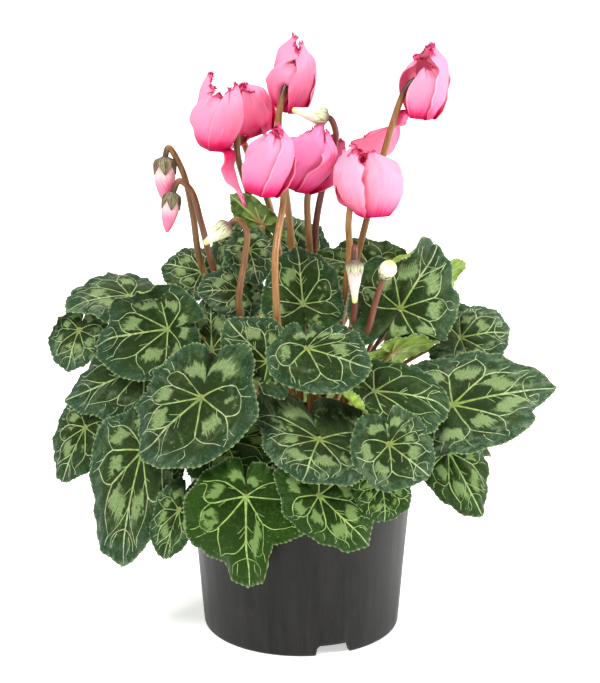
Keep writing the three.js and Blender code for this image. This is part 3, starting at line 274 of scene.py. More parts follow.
def unit(v):
    v = np.asarray(v, float)
    return v / np.linalg.norm(v, axis=-1, keepdims=True)


def smoothstep(x, low, high):
    t = np.clip((np.asarray(x, float) - low) / (high - low), 0, 1)
    return t * t * (3 - 2 * t)


def turns(sides):
    """Even angles round a circle."""
    return np.linspace(0, FULL_TURN, sides, endpoint=False)


def level(x, y):
    """Flat places for the materials' patterns."""
    return np.stack([x, y, np.zeros_like(x)], -1)


def round_axis(out, across, angle):
    """Unit vectors at angles round an axis, from out towards across."""
    return out * np.cos(angle)[..., None] + across * np.sin(angle)[..., None]


def linear(rgb):
    """Linear colour of an sRGB one given from 0 to 255."""
    c = np.array(rgb, float) / 255
    c = np.where(c <= 0.04045, c / 12.92, ((c + 0.055) / 1.055) ** 2.4)
    return (*c.tolist(), 1.0)


# Meshes

# Each point carries values for the materials, which are three numbers under these names
VECTOR_VALUES = ("flat", "ray", "petal")


class Parts:
    """Collects triangles with per-point values, and makes one object of them."""

    def __init__(self):
        self.points, self.triangles, self.materials = [], [], []
        self.values = {}
        self.count = 0

    def add(self, points, triangles, material, **values):
        """Adds a piece. A value is one for each point, or the same number for all."""
        points = np.asarray(points, float).reshape(-1, 3)
        for name in {**self.values, **values}:
            width = (3,) if name in VECTOR_VALUES else ()
            chunks = self.values.setdefault(name, [np.zeros((self.count, *width))])
            value = np.asarray(values.get(name, 0.0), float)
            shape = (len(points), *width)
            chunks.append(value.reshape(shape) if value.ndim else np.full(shape, value))
        self.points.append(points)
        self.triangles.append(np.asarray(triangles, int).reshape(-1, 3) + self.count)
        self.materials.append(np.full(len(self.triangles[-1]), material))
        self.count += len(points)

    def make(self, node, materials):
        """The finer piece of a node, as one mesh object."""
        points = np.concatenate(self.points) * MM
        triangles = np.concatenate(self.triangles)
        count = len(triangles)
        mesh = bpy.data.meshes.new(node + "_fine")
        mesh.vertices.add(len(points))
        mesh.vertices.foreach_set("co", points.astype(np.float32).ravel())
        mesh.loops.add(3 * count)
        mesh.loops.foreach_set("vertex_index", triangles.astype(np.int32).ravel())
        mesh.polygons.add(count)
        mesh.polygons.foreach_set("loop_start", np.arange(0, 3 * count, 3, dtype=np.int32))
        mesh.polygons.foreach_set("use_smooth", np.full(count, True))
        mesh.polygons.foreach_set("material_index", np.concatenate(self.materials).astype(np.int32))
        for name, chunks in self.values.items():
            data = np.concatenate(chunks).astype(np.float32)
            is_vector = name in VECTOR_VALUES
            layer = mesh.attributes.new(name, "FLOAT_VECTOR" if is_vector else "FLOAT", "POINT")
            layer.data.foreach_set("vector" if is_vector else "value", data.ravel())
        for material in materials:
            mesh.materials.append(material)
        mesh.update(calc_edges=True)
        mesh.validate()
        piece = bpy.data.objects.new(node + "_fine", mesh)
        bpy.context.scene.collection.objects.link(piece)
        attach(piece, "root")
        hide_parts(node)
        return piece


def triangles_of(*corners):
    """Triangles from three arrays of point numbers for each."""
    return np.concatenate([np.stack([x.ravel() for x in np.broadcast_arrays(*t)], 1) for t in corners])


def grid_triangles(rows, columns, closed=False, flip=False):
    """Triangles of a grid of points stored row after row."""
    r = np.arange(rows - 1)[:, None]
    c = np.arange(columns if closed else columns - 1)[None, :]
    a = r * columns + c
    b = r * columns + (c + 1) % columns
    d = a + columns
    e = b + columns
    return triangles_of((a, e, b), (a, d, e)) if flip else triangles_of((a, b, e), (a, e, d))


def tube(path, radii, sides, cap=True):
    """Points and triangles of a round tube along a path of points."""
    path = np.asarray(path, float)
    radii = np.broadcast_to(radii, len(path))
    ahead = unit(np.gradient(path, axis=0))
    across = np.zeros_like(path)
    across[0] = unit(np.cross(ahead[0], [0.31, 0.87, 0.13]))  # any way off the path will do
    for i in range(1, len(path)):
        across[i] = unit(across[i - 1] - ahead[i] * np.dot(across[i - 1], ahead[i]))
    other = np.cross(ahead, across)
    ring = round_axis(across[:, None], other[:, None], turns(sides))
    points = (path[:, None] + radii[:, None, None] * ring).reshape(-1, 3)
    triangles = grid_triangles(len(path), sides, closed=True)
    if cap:
        start, end = len(points), len(points) + 1
        points = np.concatenate([points, path[:1], path[-1:]])
        k = np.arange(sides)
        after = (k + 1) % sides
        last_ring = (len(path) - 1) * sides
        caps = triangles_of((start, after, k), (end, last_ring + k, last_ring + after))
        triangles = np.concatenate([triangles, caps])
    return points, triangles


def curve_through(points, share):
    """Centripetal Catmull-Rom curve through points, at shares from 0 to 1."""
    p = [np.asarray(q, float) for q in points]
    p = [2 * p[0] - p[1], *p, 2 * p[-1] - p[-2]]
    spans = len(p) - 3
    out = []
    for s in share:
        place = min(s * spans, spans - 1e-9)
        i = int(place)
        t = place - i
        a, b, c, d = p[i : i + 4]
        k1, k2, k3 = (max(np.linalg.norm(v) ** 0.5, 1e-4) for v in (b - a, c - b, d - c))
        m1 = ((b - a) / k1 - (c - a) / (k1 + k2) + (c - b) / k2) * k2
        m2 = ((c - b) / k2 - (d - b) / (k2 + k3) + (d - c) / k3) * k2
        t2, t3 = t * t, t * t * t
        into, out_of = t3 - 2 * t2 + t, t3 - t2
        out.append(b * (2 * t3 - 3 * t2 + 1) + m1 * into + c * (3 * t2 - 2 * t3) + m2 * out_of)
    return np.array(out)


def spline(values, place):
    """Smooth curve through evenly spaced values, at places from 0 to the last index."""
    values = np.array(values, float).reshape(len(values), -1)
    padded = np.concatenate([2 * values[:1] - values[1:2], values, 2 * values[-1:] - values[-2:-1]])
    place = np.clip(place, 0, len(values) - 1 - 1e-9)
    i = place.astype(int)
    t = (place - i)[..., None]
    a, b, c, d = (padded[i + k] for k in range(4))
    return 0.5 * (2 * b + (c - a) * t + (2 * a - 5 * b + 4 * c - d) * t * t + (3 * b - a - 3 * c + d) * t**3)


def add_sheet(parts, grid, thick, material, closed=False, **values):
    """A sheet from a grid of points, with two faces and its edges closed."""
    rows, columns = grid.shape[:2]
    if closed:
        du = np.roll(grid, -1, 1) - np.roll(grid, 1, 1)
    else:
        du = np.gradient(grid, axis=1)
    normal = np.cross(du, np.gradient(grid, axis=0))
    size = np.linalg.norm(normal, axis=-1, keepdims=True)
    normal = np.where(size > 1e-9, normal / np.maximum(size, 1e-9), 0)
    upper = (grid + normal * thick / 2).reshape(-1, 3)
    lower = (grid - normal * thick / 2).reshape(-1, 3)
    n = rows * columns
    top = grid_triangles(rows, columns, closed)
    bottom = grid_triangles(rows, columns, closed, flip=True) + n
    index = np.arange(n).reshape(rows, columns)
    borders = [index[0, ::-1], index[-1]]
    if not closed:
        borders += [index[:, 0], index[::-1, -1]]
    strips = []
    for border in borders:
        a, b = (border, np.roll(border, -1)) if closed else (border[:-1], border[1:])
        strips.append(triangles_of((a, a + n, b + n), (a, b + n, b)))
    both = {key: np.concatenate([v, v]) if np.ndim(v) else v for key, v in values.items()}
    parts.add(np.concatenate([upper, lower]), np.concatenate([top, bottom, *strips]), material, **both)


def lathe(profile, sides):
    """Points of a section of [radius, height] turned round the Z axis, row after row."""
    profile = np.array(profile, float)
    turn = turns(sides)
    radius = profile[:, :1]
    return np.stack([radius * np.cos(turn), radius * np.sin(turn), np.repeat(profile[:, 1:], sides, 1)], -1)


# Materials


class Shade:
    """A material whose node tree is built a call at a time. What a call takes is a socket, a number
    or an sRGB colour from 0 to 255."""

    def __init__(self, name):
        self.material = bpy.data.materials.new(name)
        self.material.use_nodes = True
        self.tree = self.material.node_tree
        self.tree.nodes.clear()

    def node(self, kind, **settings):
        made = self.tree.nodes.new(kind)
        for key, value in settings.items():
            setattr(made, key, value)
        return made

    def put(self, socket, value):
        if isinstance(value, bpy.types.NodeSocket):
            self.tree.links.new(value, socket)
        elif isinstance(value, tuple):
            socket.default_value = linear(value)
        else:
            socket.default_value = value

    def fill(self, made, **inputs):
        """Puts values in a node's inputs, named with _ for each space."""
        for key, value in inputs.items():
            self.put(made.inputs[key.replace("_", " ")], value)
        return made

    def value(self, name):
        return self.node("ShaderNodeAttribute", attribute_name=name).outputs["Fac"]

    def vector(self, name):
        return self.node("ShaderNodeAttribute", attribute_name=name).outputs["Vector"]

    def object_place(self):
        return self.node("ShaderNodeTexCoord").outputs["Object"]

    def math(self, operation, a, b):
        made = self.node("ShaderNodeMath", operation=operation)
        self.put(made.inputs[0], a)
        self.put(made.inputs[1], b)
        return made.outputs[0]

    def add(self, a, b):
        return self.math("ADD", a, b)

    def mul(self, a, b):
        return self.math("MULTIPLY", a, b)

    def sway(self, x, amount):
        """A noise made to swing round zero."""
        return self.mul(self.add(x, -0.5), amount)

    def step(self, x, low, high, to_low=0.0, to_high=1.0):
        made = self.node("ShaderNodeMapRange", interpolation_type="SMOOTHSTEP")
        self.fill(made, Value=x, From_Min=low, From_Max=high, To_Min=to_low, To_Max=to_high)
        return made.outputs["Result"]

    def noise(self, vector, scale, detail=2.0, roughness=0.5):
        made = self.node("ShaderNodeTexNoise")
        self.fill(made, Vector=vector, Scale=scale, Detail=detail, Roughness=roughness)
        return made.outputs["Fac"]

    def streaks(self, vector, scale, detail=3.0, roughness=0.6):
        """Noise with its own scale each way."""
        return self.noise(self.scaled(vector, scale), 1.0, detail, roughness)

    def voronoi(self, vector, scale, feature="F1"):
        made = self.node("ShaderNodeTexVoronoi", feature=feature)
        return self.fill(made, Vector=vector, Scale=scale).outputs["Distance"]

    def scaled(self, vector, scale):
        made = self.node("ShaderNodeMapping")
        made.inputs["Scale"].default_value = scale
        return self.fill(made, Vector=vector).outputs["Vector"]

    def mix(self, share, a, b):
        made = self.node("ShaderNodeMix", data_type="RGBA")
        self.put(made.inputs["Factor"], share)
        self.put(made.inputs[6], a)
        self.put(made.inputs[7], b)
        return made.outputs[2]

    def ramp(self, x, stops):
        """Colour by x, from a list of (place, colour)."""
        made = self.node("ShaderNodeValToRGB")
        ramp = made.color_ramp
        while len(ramp.elements) < len(stops):
            ramp.elements.new(0.5)
        for element, (place, colour) in zip(ramp.elements, stops):
            element.position = place
            element.color = linear(colour)
        self.put(made.inputs["Fac"], x)
        return made.outputs["Color"]

    def relief(self, surface, height, strength, distance):
        bump = self.node("ShaderNodeBump")
        self.fill(bump, Height=height, Strength=strength, Distance=distance)
        self.tree.links.new(bump.outputs["Normal"], surface.inputs["Normal"])

    def let_light_through(self, last, colour, share):
        glow = self.node("ShaderNodeBsdfTranslucent")
        self.put(glow.inputs["Color"], colour)
        both = self.node("ShaderNodeMixShader")
        self.put(both.inputs[0], share)
        self.tree.links.new(last, both.inputs[1])
        self.tree.links.new(glow.outputs[0], both.inputs[2])
        return both.outputs[0]

    def finish(self, colour, roughness, relief=None, through=None, **more):
        """The material. relief is (height, strength, metres), through is (colour, share of light)."""
        surface = self.node("ShaderNodeBsdfPrincipled")
        self.fill(surface, Base_Color=colour, Roughness=roughness, **more)
        if relief:
            self.relief(surface, *relief)
        last = surface.outputs["BSDF"]
        if through:
            last = self.let_light_through(last, *through)
        self.tree.links.new(last, self.node("ShaderNodeOutputMaterial").inputs["Surface"])
        return self.material


def leaf_top_material():
    s = Shade("leaf_top")
    flat, reach, sector = s.vector("flat"), s.value("reach"), s.value("sector")
    silver, green = s.value("silver"), s.value("green")
    broad = s.noise(flat, 0.09)
    middle = s.noise(flat, 0.28, 3.0)
    fine = s.noise(flat, 1.3, 4.0, 0.6)
    place = s.add(reach, s.add(s.sway(middle, 0.22), s.sway(fine, 0.12)))
    # dark green, with a grey green band along the margin
    ground = s.mix(s.step(place, 0.15, 0.75), (24, 33, 12), (33, 46, 22))
    ground = s.mix(s.step(broad, 0.35, 0.65, 0.0, 0.6), ground, (16, 38, 14))
    outer = s.mix(s.step(fine, 0.4, 0.75), (20, 44, 28), (54, 80, 60))
    outer = s.mix(s.mul(silver, 0.7), outer, s.mix(s.step(fine, 0.4, 0.75), (30, 52, 40), (66, 92, 78)))
    ground = s.mix(s.mul(silver, 0.6), ground, (40, 52, 34))
    colour = s.mix(s.step(place, 0.72, 0.9, 0.0, 0.8), ground, outer)
    # fine pale net between the veins
    net = s.voronoi(s.scaled(flat, (0.42, 0.42, 0.42)), 1.0, "DISTANCE_TO_EDGE")
    net = s.mul(s.step(net, 0.0, 0.09, 1.0, 0.0), s.step(middle, 0.45, 0.65, 0.0, 0.3))
    colour = s.mix(net, colour, (80, 104, 60))
    # pale patches between the veins
    out = s.add(s.add(reach, s.sway(middle, 0.16)), s.value("shift"))
    feather = s.add(out, s.sway(s.streaks(s.vector("ray"), (46.0, 2.2, 1.0)), 0.34))
    patch = s.mul(s.step(out, 0.4, 0.48), s.step(feather, 0.62, 0.68, 1.0, 0.0))
    patch = s.mul(patch, s.step(s.add(sector, s.sway(middle, 0.7)), 0.3, 0.44))
    patch = s.mul(patch, s.step(s.add(s.value("spot"), s.sway(middle, 0.8)), 0.3, 0.42))
    sage = s.mix(s.step(fine, 0.3, 0.7), (98, 119, 72), (130, 149, 102))
    colour = s.mix(s.mul(patch, 0.85), colour, sage)
    # silver streaks
    streak = s.step(s.streaks(flat, (0.14, 0.3, 0.5)), 0.46, 0.7)
    streak = s.mul(streak, s.mul(silver, s.step(place, 0.4, 0.65)))
    colour = s.mix(s.mul(streak, 0.6), colour, (116, 134, 102))
    # the greener ground of young and low leaves
    fresh = s.mix(s.step(place, 0.2, 0.8), (14, 30, 4), (24, 48, 10))
    fresh = s.mix(s.step(fine, 0.45, 0.75, 0.0, 0.3), fresh, (52, 88, 34))
    fresh = s.mix(s.mul(patch, 0.85), fresh, s.mix(0.5, sage, (90, 124, 48)))
    fresh = s.mix(net, fresh, (74, 112, 46))
    colour = s.mix(green, colour, fresh)
    # hub and the first run of the veins
    near = s.mul(s.step(sector, 0.0, 0.3, 1.0, 0.0), s.step(reach, 0.0, 0.6, 0.8, 0.0))
    colour = s.mix(near, colour, (66, 96, 26))
    colour = s.mix(s.step(reach, 0.015, 0.06, 0.85, 0.0), colour, (116, 84, 28))
    # specks and margin
    speck = s.step(s.voronoi(s.scaled(flat, (0.5, 0.5, 0.5)), 1.0), 0.06, 0.11, 1.0, 0.0)
    speck = s.mul(speck, s.mul(s.step(place, 0.5, 0.7), s.step(middle, 0.45, 0.55)))
    colour = s.mix(s.mul(speck, 0.7), colour, (180, 194, 166))
    margin = s.add(s.step(s.value("tooth"), 0.0, 0.6, 0.0, 0.4), s.step(reach, 0.985, 1.0, 0.0, 0.3))
    colour = s.mix(margin, colour, (150, 168, 118))
    height = s.add(s.mul(fine, 0.6), s.mul(middle, 1.4))
    return s.finish(
        colour, s.step(fine, 0.3, 0.7, 0.34, 0.5), (height, 0.4, 0.0006), ((80, 116, 30), 0.05),
        Specular_IOR_Level=0.13, Specular_Tint=(220, 255, 140),
    )


def leaf_under_material():
    s = Shade("leaf_under")
    flat, reach = s.vector("flat"), s.value("reach")
    middle = s.noise(flat, 0.25, 3.0)
    fine = s.noise(flat, 1.4, 4.0, 0.6)
    colour = s.mix(s.step(middle, 0.35, 0.65), (106, 140, 38), (148, 174, 62))
    net = s.voronoi(s.scaled(flat, (0.4, 0.4, 0.4)), 1.0, "DISTANCE_TO_EDGE")
    colour = s.mix(s.step(net, 0.0, 0.1, 0.45, 0.0), colour, (144, 166, 88))
    colour = s.mix(s.step(reach, 0.0, 0.25, 0.7, 0.0), colour, (126, 84, 46))
    # painted shade: where dim is set, the underside is darkened to these greens
    dim = s.mix(s.step(middle, 0.4, 0.6), (44, 66, 22), (92, 124, 52))
    colour = s.mix(s.value("dim"), colour, dim)
    colour = s.mix(s.step(s.value("tooth"), 0.05, 0.5, 0.0, 0.6), colour, (150, 172, 110))
    return s.finish(colour, 0.55, (s.add(fine, middle), 0.3, 0.0004), ((110, 150, 50), 0.08))


def vein_material():
    s = Shade("leaf_vein")
    flat = s.vector("flat")
    stops = [(0.0, (96, 116, 20)), (0.2, (126, 148, 62)), (0.45, (146, 164, 108)), (0.95, (148, 164, 124))]
    colour = s.mix(s.mul(s.value("green"), 0.8), s.ramp(s.value("reach"), stops), (128, 160, 62))
    colour = s.mix(s.step(s.noise(flat, 0.35), 0.42, 0.62, 0.0, 0.6), colour, (78, 100, 56))
    return s.finish(colour, 0.5, (s.noise(flat, 1.6, 3.0), 0.2, 0.0002))


def rib_material():
    """The veins on a leaf's underside."""
    s = Shade("leaf_rib")
    fine = s.noise(s.vector("flat"), 1.2, 3.0)
    colour = s.mix(s.step(s.value("reach"), 0.0, 0.5), (150, 112, 60), (160, 176, 96))
    return s.finish(s.mix(s.mul(fine, 0.4), colour, (104, 128, 60)), 0.5, (fine, 0.2, 0.0002))


def leaf_stalk_material():
    s = Shade("leaf_stalk")
    streak = s.streaks(s.object_place(), (900.0, 900.0, 60.0))
    colour = s.mix(s.step(streak, 0.35, 0.7), (122, 74, 36), (150, 112, 58))
    colour = s.mix(s.step(s.value("along"), 0.5, 1.0, 0.0, 0.6), colour, (128, 134, 62))
    return s.finish(colour, 0.45, (streak, 0.3, 0.0003))


FRINGE_RED = (206, 14, 88)


def petal_material():
    """Crimson at the nose, through pink, to a paler tip with a crimson edge."""
    s = Shade("petal")
    petal, along, over = s.vector("petal"), s.value("along"), s.value("over")
    pale, lilac = s.value("pale"), s.value("lilac")
    streak = s.streaks(petal, (1.1, 0.07, 1.0), 4.0)
    broad = s.streaks(petal, (0.12, 0.06, 1.0), 2.0, 0.5)
    place = s.add(along, s.sway(streak, 0.12))
    place = s.add(place, s.sway(broad, 0.2))
    place = s.add(place, s.mul(pale, 0.1))
    stops = [
        (0.0, (176, 6, 62)), (0.33, (206, 14, 84)), (0.4, (230, 42, 110)), (0.5, (246, 104, 154)),
        (0.64, (250, 134, 172)), (0.92, (252, 162, 192)),
    ]
    colour = s.ramp(place, stops)
    colour = s.mix(s.mul(lilac, s.step(place, 0.3, 0.6, 0.0, 0.55)), colour, (230, 104, 174))
    colour = s.mix(s.mul(pale, s.step(place, 0.42, 0.7, 0.0, 0.7)), colour, (252, 172, 196))
    colour = s.mix(s.step(streak, 0.52, 0.7, 0.0, 0.2), colour, (240, 84, 140))
    # painted highlight: a paler band along the edge that stands out over the neighbouring petal
    side = s.mul(s.step(over, 0.88, 1.0), s.step(along, 0.2, 0.5, 0.0, 0.45))
    colour = s.mix(side, colour, (254, 196, 218))
    edge = s.mul(s.step(along, 0.965, 0.985), s.step(s.noise(petal, 1.2, 3.0), 0.4, 0.5))
    colour = s.mix(s.mul(edge, 0.9), colour, FRINGE_RED)
    # painted shade: dark brown on the petals beside the stalk where it goes into the bloom
    colour = s.mix(s.mul(s.value("dark"), 0.95), colour, (58, 26, 20))
    return s.finish(colour, 0.5, (streak, 0.25, 0.0004), (colour, 0.32), Specular_IOR_Level=0.2)


def fringe_material():
    s = Shade("petal_fringe")
    fine = s.noise(s.vector("petal"), 1.5, 3.0)
    return s.finish(s.mix(fine, FRINGE_RED, (232, 60, 136)), 0.5, (fine, 0.2, 0.0002))


def bud_material(name, stops):
    s = Shade("bud_" + name)
    streak = s.streaks(s.vector("petal"), (1.4, 0.12, 1.0), 4.0)
    colour = s.ramp(s.add(s.value("along"), s.sway(streak, 0.9)), stops)
    return s.finish(colour, 0.5, (streak, 0.3, 0.0003), (colour, 0.12))


def flower_stalk_material():
    s = Shade("flower_stalk")
    streak = s.streaks(s.object_place(), (700.0, 700.0, 40.0), 4.0)
    colour = s.mix(s.step(streak, 0.35, 0.68), (86, 66, 24), (130, 98, 42))
    colour = s.mix(s.mul(s.value("tan"), s.step(streak, 0.3, 0.6, 0.5, 0.9)), colour, (156, 106, 54))
    colour = s.mix(s.mul(s.value("maroon"), s.step(streak, 0.3, 0.6, 1.0, 0.8)), colour, (88, 30, 20))
    colour = s.mix(s.step(s.value("along"), 0.86, 0.95, 0.0, 0.8), colour, (66, 34, 26))
    # painted shade: near-black brown where the stalk goes into a bloom's mouth
    colour = s.mix(s.mul(s.value("end"), 0.9), colour, (52, 24, 18))
    return s.finish(colour, 0.42, (streak, 0.3, 0.0003))


def calyx_material():
    """Brown green, or where light is 1 a cream cup with dark lines."""
    s = Shade("calyx")
    petal, along = s.vector("petal"), s.value("along")
    streak = s.streaks(petal, (1.5, 0.2, 1.0), 4.0)
    colour = s.mix(s.step(streak, 0.4, 0.65), (70, 50, 34), (128, 128, 88))
    colour = s.mix(s.step(along, 0.75, 1.0, 0.0, 0.6), colour, (60, 34, 34))
    line = s.streaks(petal, (2.4, 0.16, 1.0))
    light = s.mix(s.step(line, 0.52, 0.6), (206, 212, 168), (88, 74, 50))
    light = s.mix(s.step(along, 0.1, 0.55, 0.9, 0.0), light, (80, 34, 36))
    return s.finish(s.mix(s.value("light"), colour, light), 0.5, (streak, 0.3, 0.0003))


def tuber_material():
    s = Shade("tuber")
    place = s.object_place()
    rough = s.noise(place, 160.0, 5.0, 0.65)
    crack = s.voronoi(place, 240.0, "DISTANCE_TO_EDGE")
    colour = s.mix(s.step(rough, 0.35, 0.65), (58, 38, 24), (104, 74, 48))
    colour = s.mix(s.step(crack, 0.0, 0.08, 0.6, 0.0), colour, (30, 20, 14))
    return s.finish(colour, 0.8, (rough, 0.8, 0.001))


def soil_material():
    s = Shade("soil")
    place = s.object_place()
    crumb = s.voronoi(place, 420.0)
    rough = s.noise(place, 260.0, 6.0, 0.7)
    colour = s.mix(s.step(rough, 0.35, 0.7), (34, 24, 16), (78, 56, 36))
    colour = s.mix(s.step(crumb, 0.05, 0.2, 0.35, 0.0), colour, (110, 86, 58))
    return s.finish(colour, 0.95, (s.add(crumb, rough), 1.0, 0.002))


def pot_material():
    """Dark plastic with fine upright streaks and a little dust."""
    s = Shade("pot_plastic")
    place = s.object_place()
    fine = s.streaks(place, (900.0, 900.0, 7.0))
    broad = s.streaks(place, (150.0, 150.0, 3.0), 3.0, 0.5)
    dust = s.noise(place, 110.0, 5.0, 0.6)
    colour = s.mix(s.step(fine, 0.3, 0.7), (9, 8, 7), (22, 21, 19))
    colour = s.mix(s.step(broad, 0.35, 0.7, 0.0, 0.7), colour, (34, 33, 30))
    colour = s.mix(s.step(dust, 0.55, 0.8, 0.0, 0.08), colour, (80, 76, 70))
    rough = s.step(broad, 0.3, 0.7, 0.38, 0.5)
    height = s.add(s.mul(fine, 0.6), broad)
    return s.finish(colour, rough, (height, 0.3, 0.0004), Specular_IOR_Level=0.2)


# Material numbers of a leaf and of the stalks are places in these lists
TOP, UNDER, VEIN, LEAF_STALK, RIB = range(5)
LEAF_MATERIALS = [
    leaf_top_material(), leaf_under_material(), vein_material(), leaf_stalk_material(), rib_material(),
]
PETAL, FRINGE = range(2)
PETAL_MATERIALS = [petal_material(), fringe_material()]
BUD_COLOURS = dict(
    pink=[(0.0, (206, 150, 136)), (0.3, (244, 196, 196)), (0.55, (240, 120, 156)), (0.95, (226, 110, 140))],
    cream=[(0.0, (216, 214, 168)), (0.35, (234, 224, 198)), (0.75, (238, 226, 200)), (0.95, (206, 204, 128))],
    blush=[(0.0, (150, 70, 84)), (0.3, (232, 196, 188)), (0.7, (242, 212, 202)), (0.95, (206, 216, 124))],
)
BUD_MATERIALS = {name: bud_material(name, stops) for name, stops in BUD_COLOURS.items()}
STALK, CALYX, TUBER = range(3)
STALK_MATERIALS = [flower_stalk_material(), calyx_material(), tuber_material()]

# Leaves. A place on a blade is an angle from its tip in degrees, and a reach: the share of the way
# from the hub to the margin

LOBE_ANGLES = (80, 140)  # between these angles the lobes behind the hub begin
SCALLOP = 0.03  # the margin's shallow scallops, as a share of the radius
SCALLOP_ANGLES = [0, 23, 46, 70, 96, 124, 152, 172, 180]
SCALLOP_SIGNS = [0, -1, 1, -1, 1, -1, 1, 0, 0]
CLEFT_REACH = 0.3  # least radius in the cleft, as a share of the blade's length, to divide by
SPACE = 1.1  # gap kept between blades that lie over each other
MOST_PUSH = 16  # how far a blade is bent at most to keep that gap
BLADE_SWELL = 1.0  # how far a blade bulges between its veins
# Waves of the outline, as a share of the radius, and of the margin, in millimetres up and down on a
# blade of WAVES_FOR: rate, phase and depth
OUTLINE_WAVES = [(5, 1, 0.022), (8, 2.6, 0.018), (13, 5.1, 0.012)]
MARGIN_WAVES = [(7, 1, 1.1), (15, 2.3, 0.8), (29, 4.1, 0.35)]
WAVES_FOR = 45
BLADE_HALF_THICK = 0.3
MARGIN_THINNER = 0.12  # how much less that is at the margin
BEHIND_ALL = 1000  # puts a leaf of the back after every leaf of the front
INNER_REACHES = [0.05, 0.12, 0.21, 0.31, 0.42, 0.53]
OUTER_REACHES = [0.63, 0.72, 0.8, 0.87, 0.93, 0.97, 1.0]
TOOTH_SIZE = 0.46
TOOTH_SHAPE = np.array([0.3, 1.0, 0.3, -0.55])  # a tooth and the notch after it, in four points
TOOTH_SPACING = 2.15
HIDDEN_TOOTH_SPACING = 2.7
VEIN_ANGLES = [0, 41, 83, 127]  # main veins on half of a blade
VEIN_STRAY = 3.5  # degrees by which a main vein strays from its angle
VEIN_SUNK = 0.06  # how far a vein's sides reach into the blade
VEIN_HEIGHT = (0.2, 0.32)  # most height of a vein on the upper side and on the underside
MAIN_VEIN = 0.52  # half width of a short blade's main veins
ARM, TWIG = 0.52, 0.32  # half widths of the finer veins, as shares of the main veins'
PATCH_STRENGTHS = (0.05, 1.3)
PATCH_SHIFT = 0.07  # how far a pale patch lies in or out of its even place, as a share of the radius
APART = np.array([71.3, 37.7, 5.1])  # keeps the leaves' markings apart, so that all differ
LEAF_STALK_RADIUS = 1.45
LEAF_STALK_TAPER = 0.3
HUB_SWELL = 0.9  # how much thicker a leaf's stalk is where it joins the blade
LEAF_STALK_STEPS, LEAF_STALK_SIDES = 26, 10


def soft_heart():
    """The heart's outline at each half degree, its corners rounded except in the cleft."""
    angles = np.linspace(0, 180, 361)
    radii = np.interp(angles, *np.transpose(HEART))
    kernel = np.exp(-0.5 * (np.arange(-16, 17) / 7.0) ** 2)
    soft = np.convolve(np.pad(radii, 16, mode="reflect"), kernel / kernel.sum(), "valid")
    share = 1 - smoothstep(angles, 150, 166)
    return angles, radii + (soft - radii) * share * smoothstep(angles, 4, 16)


HEART_ANGLES, HEART_RADII = soft_heart()


def with_frame(leaf, number):
    """The leaf with its axes, its seed, its veins and its markings."""
    hub, tip = leaf["hub"], leaf["tip"]
    length = float(np.linalg.norm(tip - hub))
    along = (tip - hub) / length
    face = np.array(leaf["face"], float)
    up = unit(face - along * np.dot(face, along))
    rng = np.random.default_rng(100 + number)
    right = [a + rng.uniform(-VEIN_STRAY, VEIN_STRAY) for a in VEIN_ANGLES[1:]]
    left = [-(a + rng.uniform(-VEIN_STRAY, VEIN_STRAY)) for a in VEIN_ANGLES[1:]]
    veins = np.array([*left[::-1], 0.0, *right])
    sectors = len(veins) + 1
    strengths = np.clip(rng.uniform(*PATCH_STRENGTHS, sectors), 0, 1) * leaf.get("patches", 1)
    shifts = rng.uniform(-PATCH_SHIFT, PATCH_SHIFT, sectors)
    silver = leaf.get("silver", 0.15 + 0.3 * rng.uniform())
    green = leaf.get("green", 0.12 * rng.uniform())
    return {
        **leaf, "along": along, "up": up, "side": np.cross(up, along), "length": length,
        "seed": number + 0.37, "veins": veins, "patch_strengths": strengths, "patch_shifts": shifts,
        "silver": silver, "green": green, "neighbours": [],
    }


def skewed(leaf, angle):
    """The turn from a blade's tip in radians, with the cleft turned aside."""
    level = np.radians(angle)
    return level + math.radians(leaf["skew"]) * np.sin(level / 2) ** 2


def waves(kinds, turn, leaf):
    return sum(depth * np.sin(rate * turn + phase * leaf["seed"]) for rate, phase, depth in kinds)


def scallop(leaf, angle):
    """The margin's shallow scallops and its own unevenness, as a share of the radius."""
    size = np.abs(angle)
    even = SCALLOP * np.interp(size, SCALLOP_ANGLES, SCALLOP_SIGNS)
    return even + waves(OUTLINE_WAVES, np.radians(angle), leaf) * smoothstep(size, 8, 30)


def full_reach(leaf, angle):
    """The blade's radius at an angle."""
    size = np.abs(angle)
    stretch = 1 + (leaf["back"] - 1) * smoothstep(size, *LOBE_ANGLES)
    stretch = stretch * (1 + scallop(leaf, angle))
    if leaf["trim"]:
        stretch = stretch * np.interp(angle, *np.transpose(leaf["trim"]))
    return leaf["length"] * np.interp(size, HEART_ANGLES, HEART_RADII) * stretch


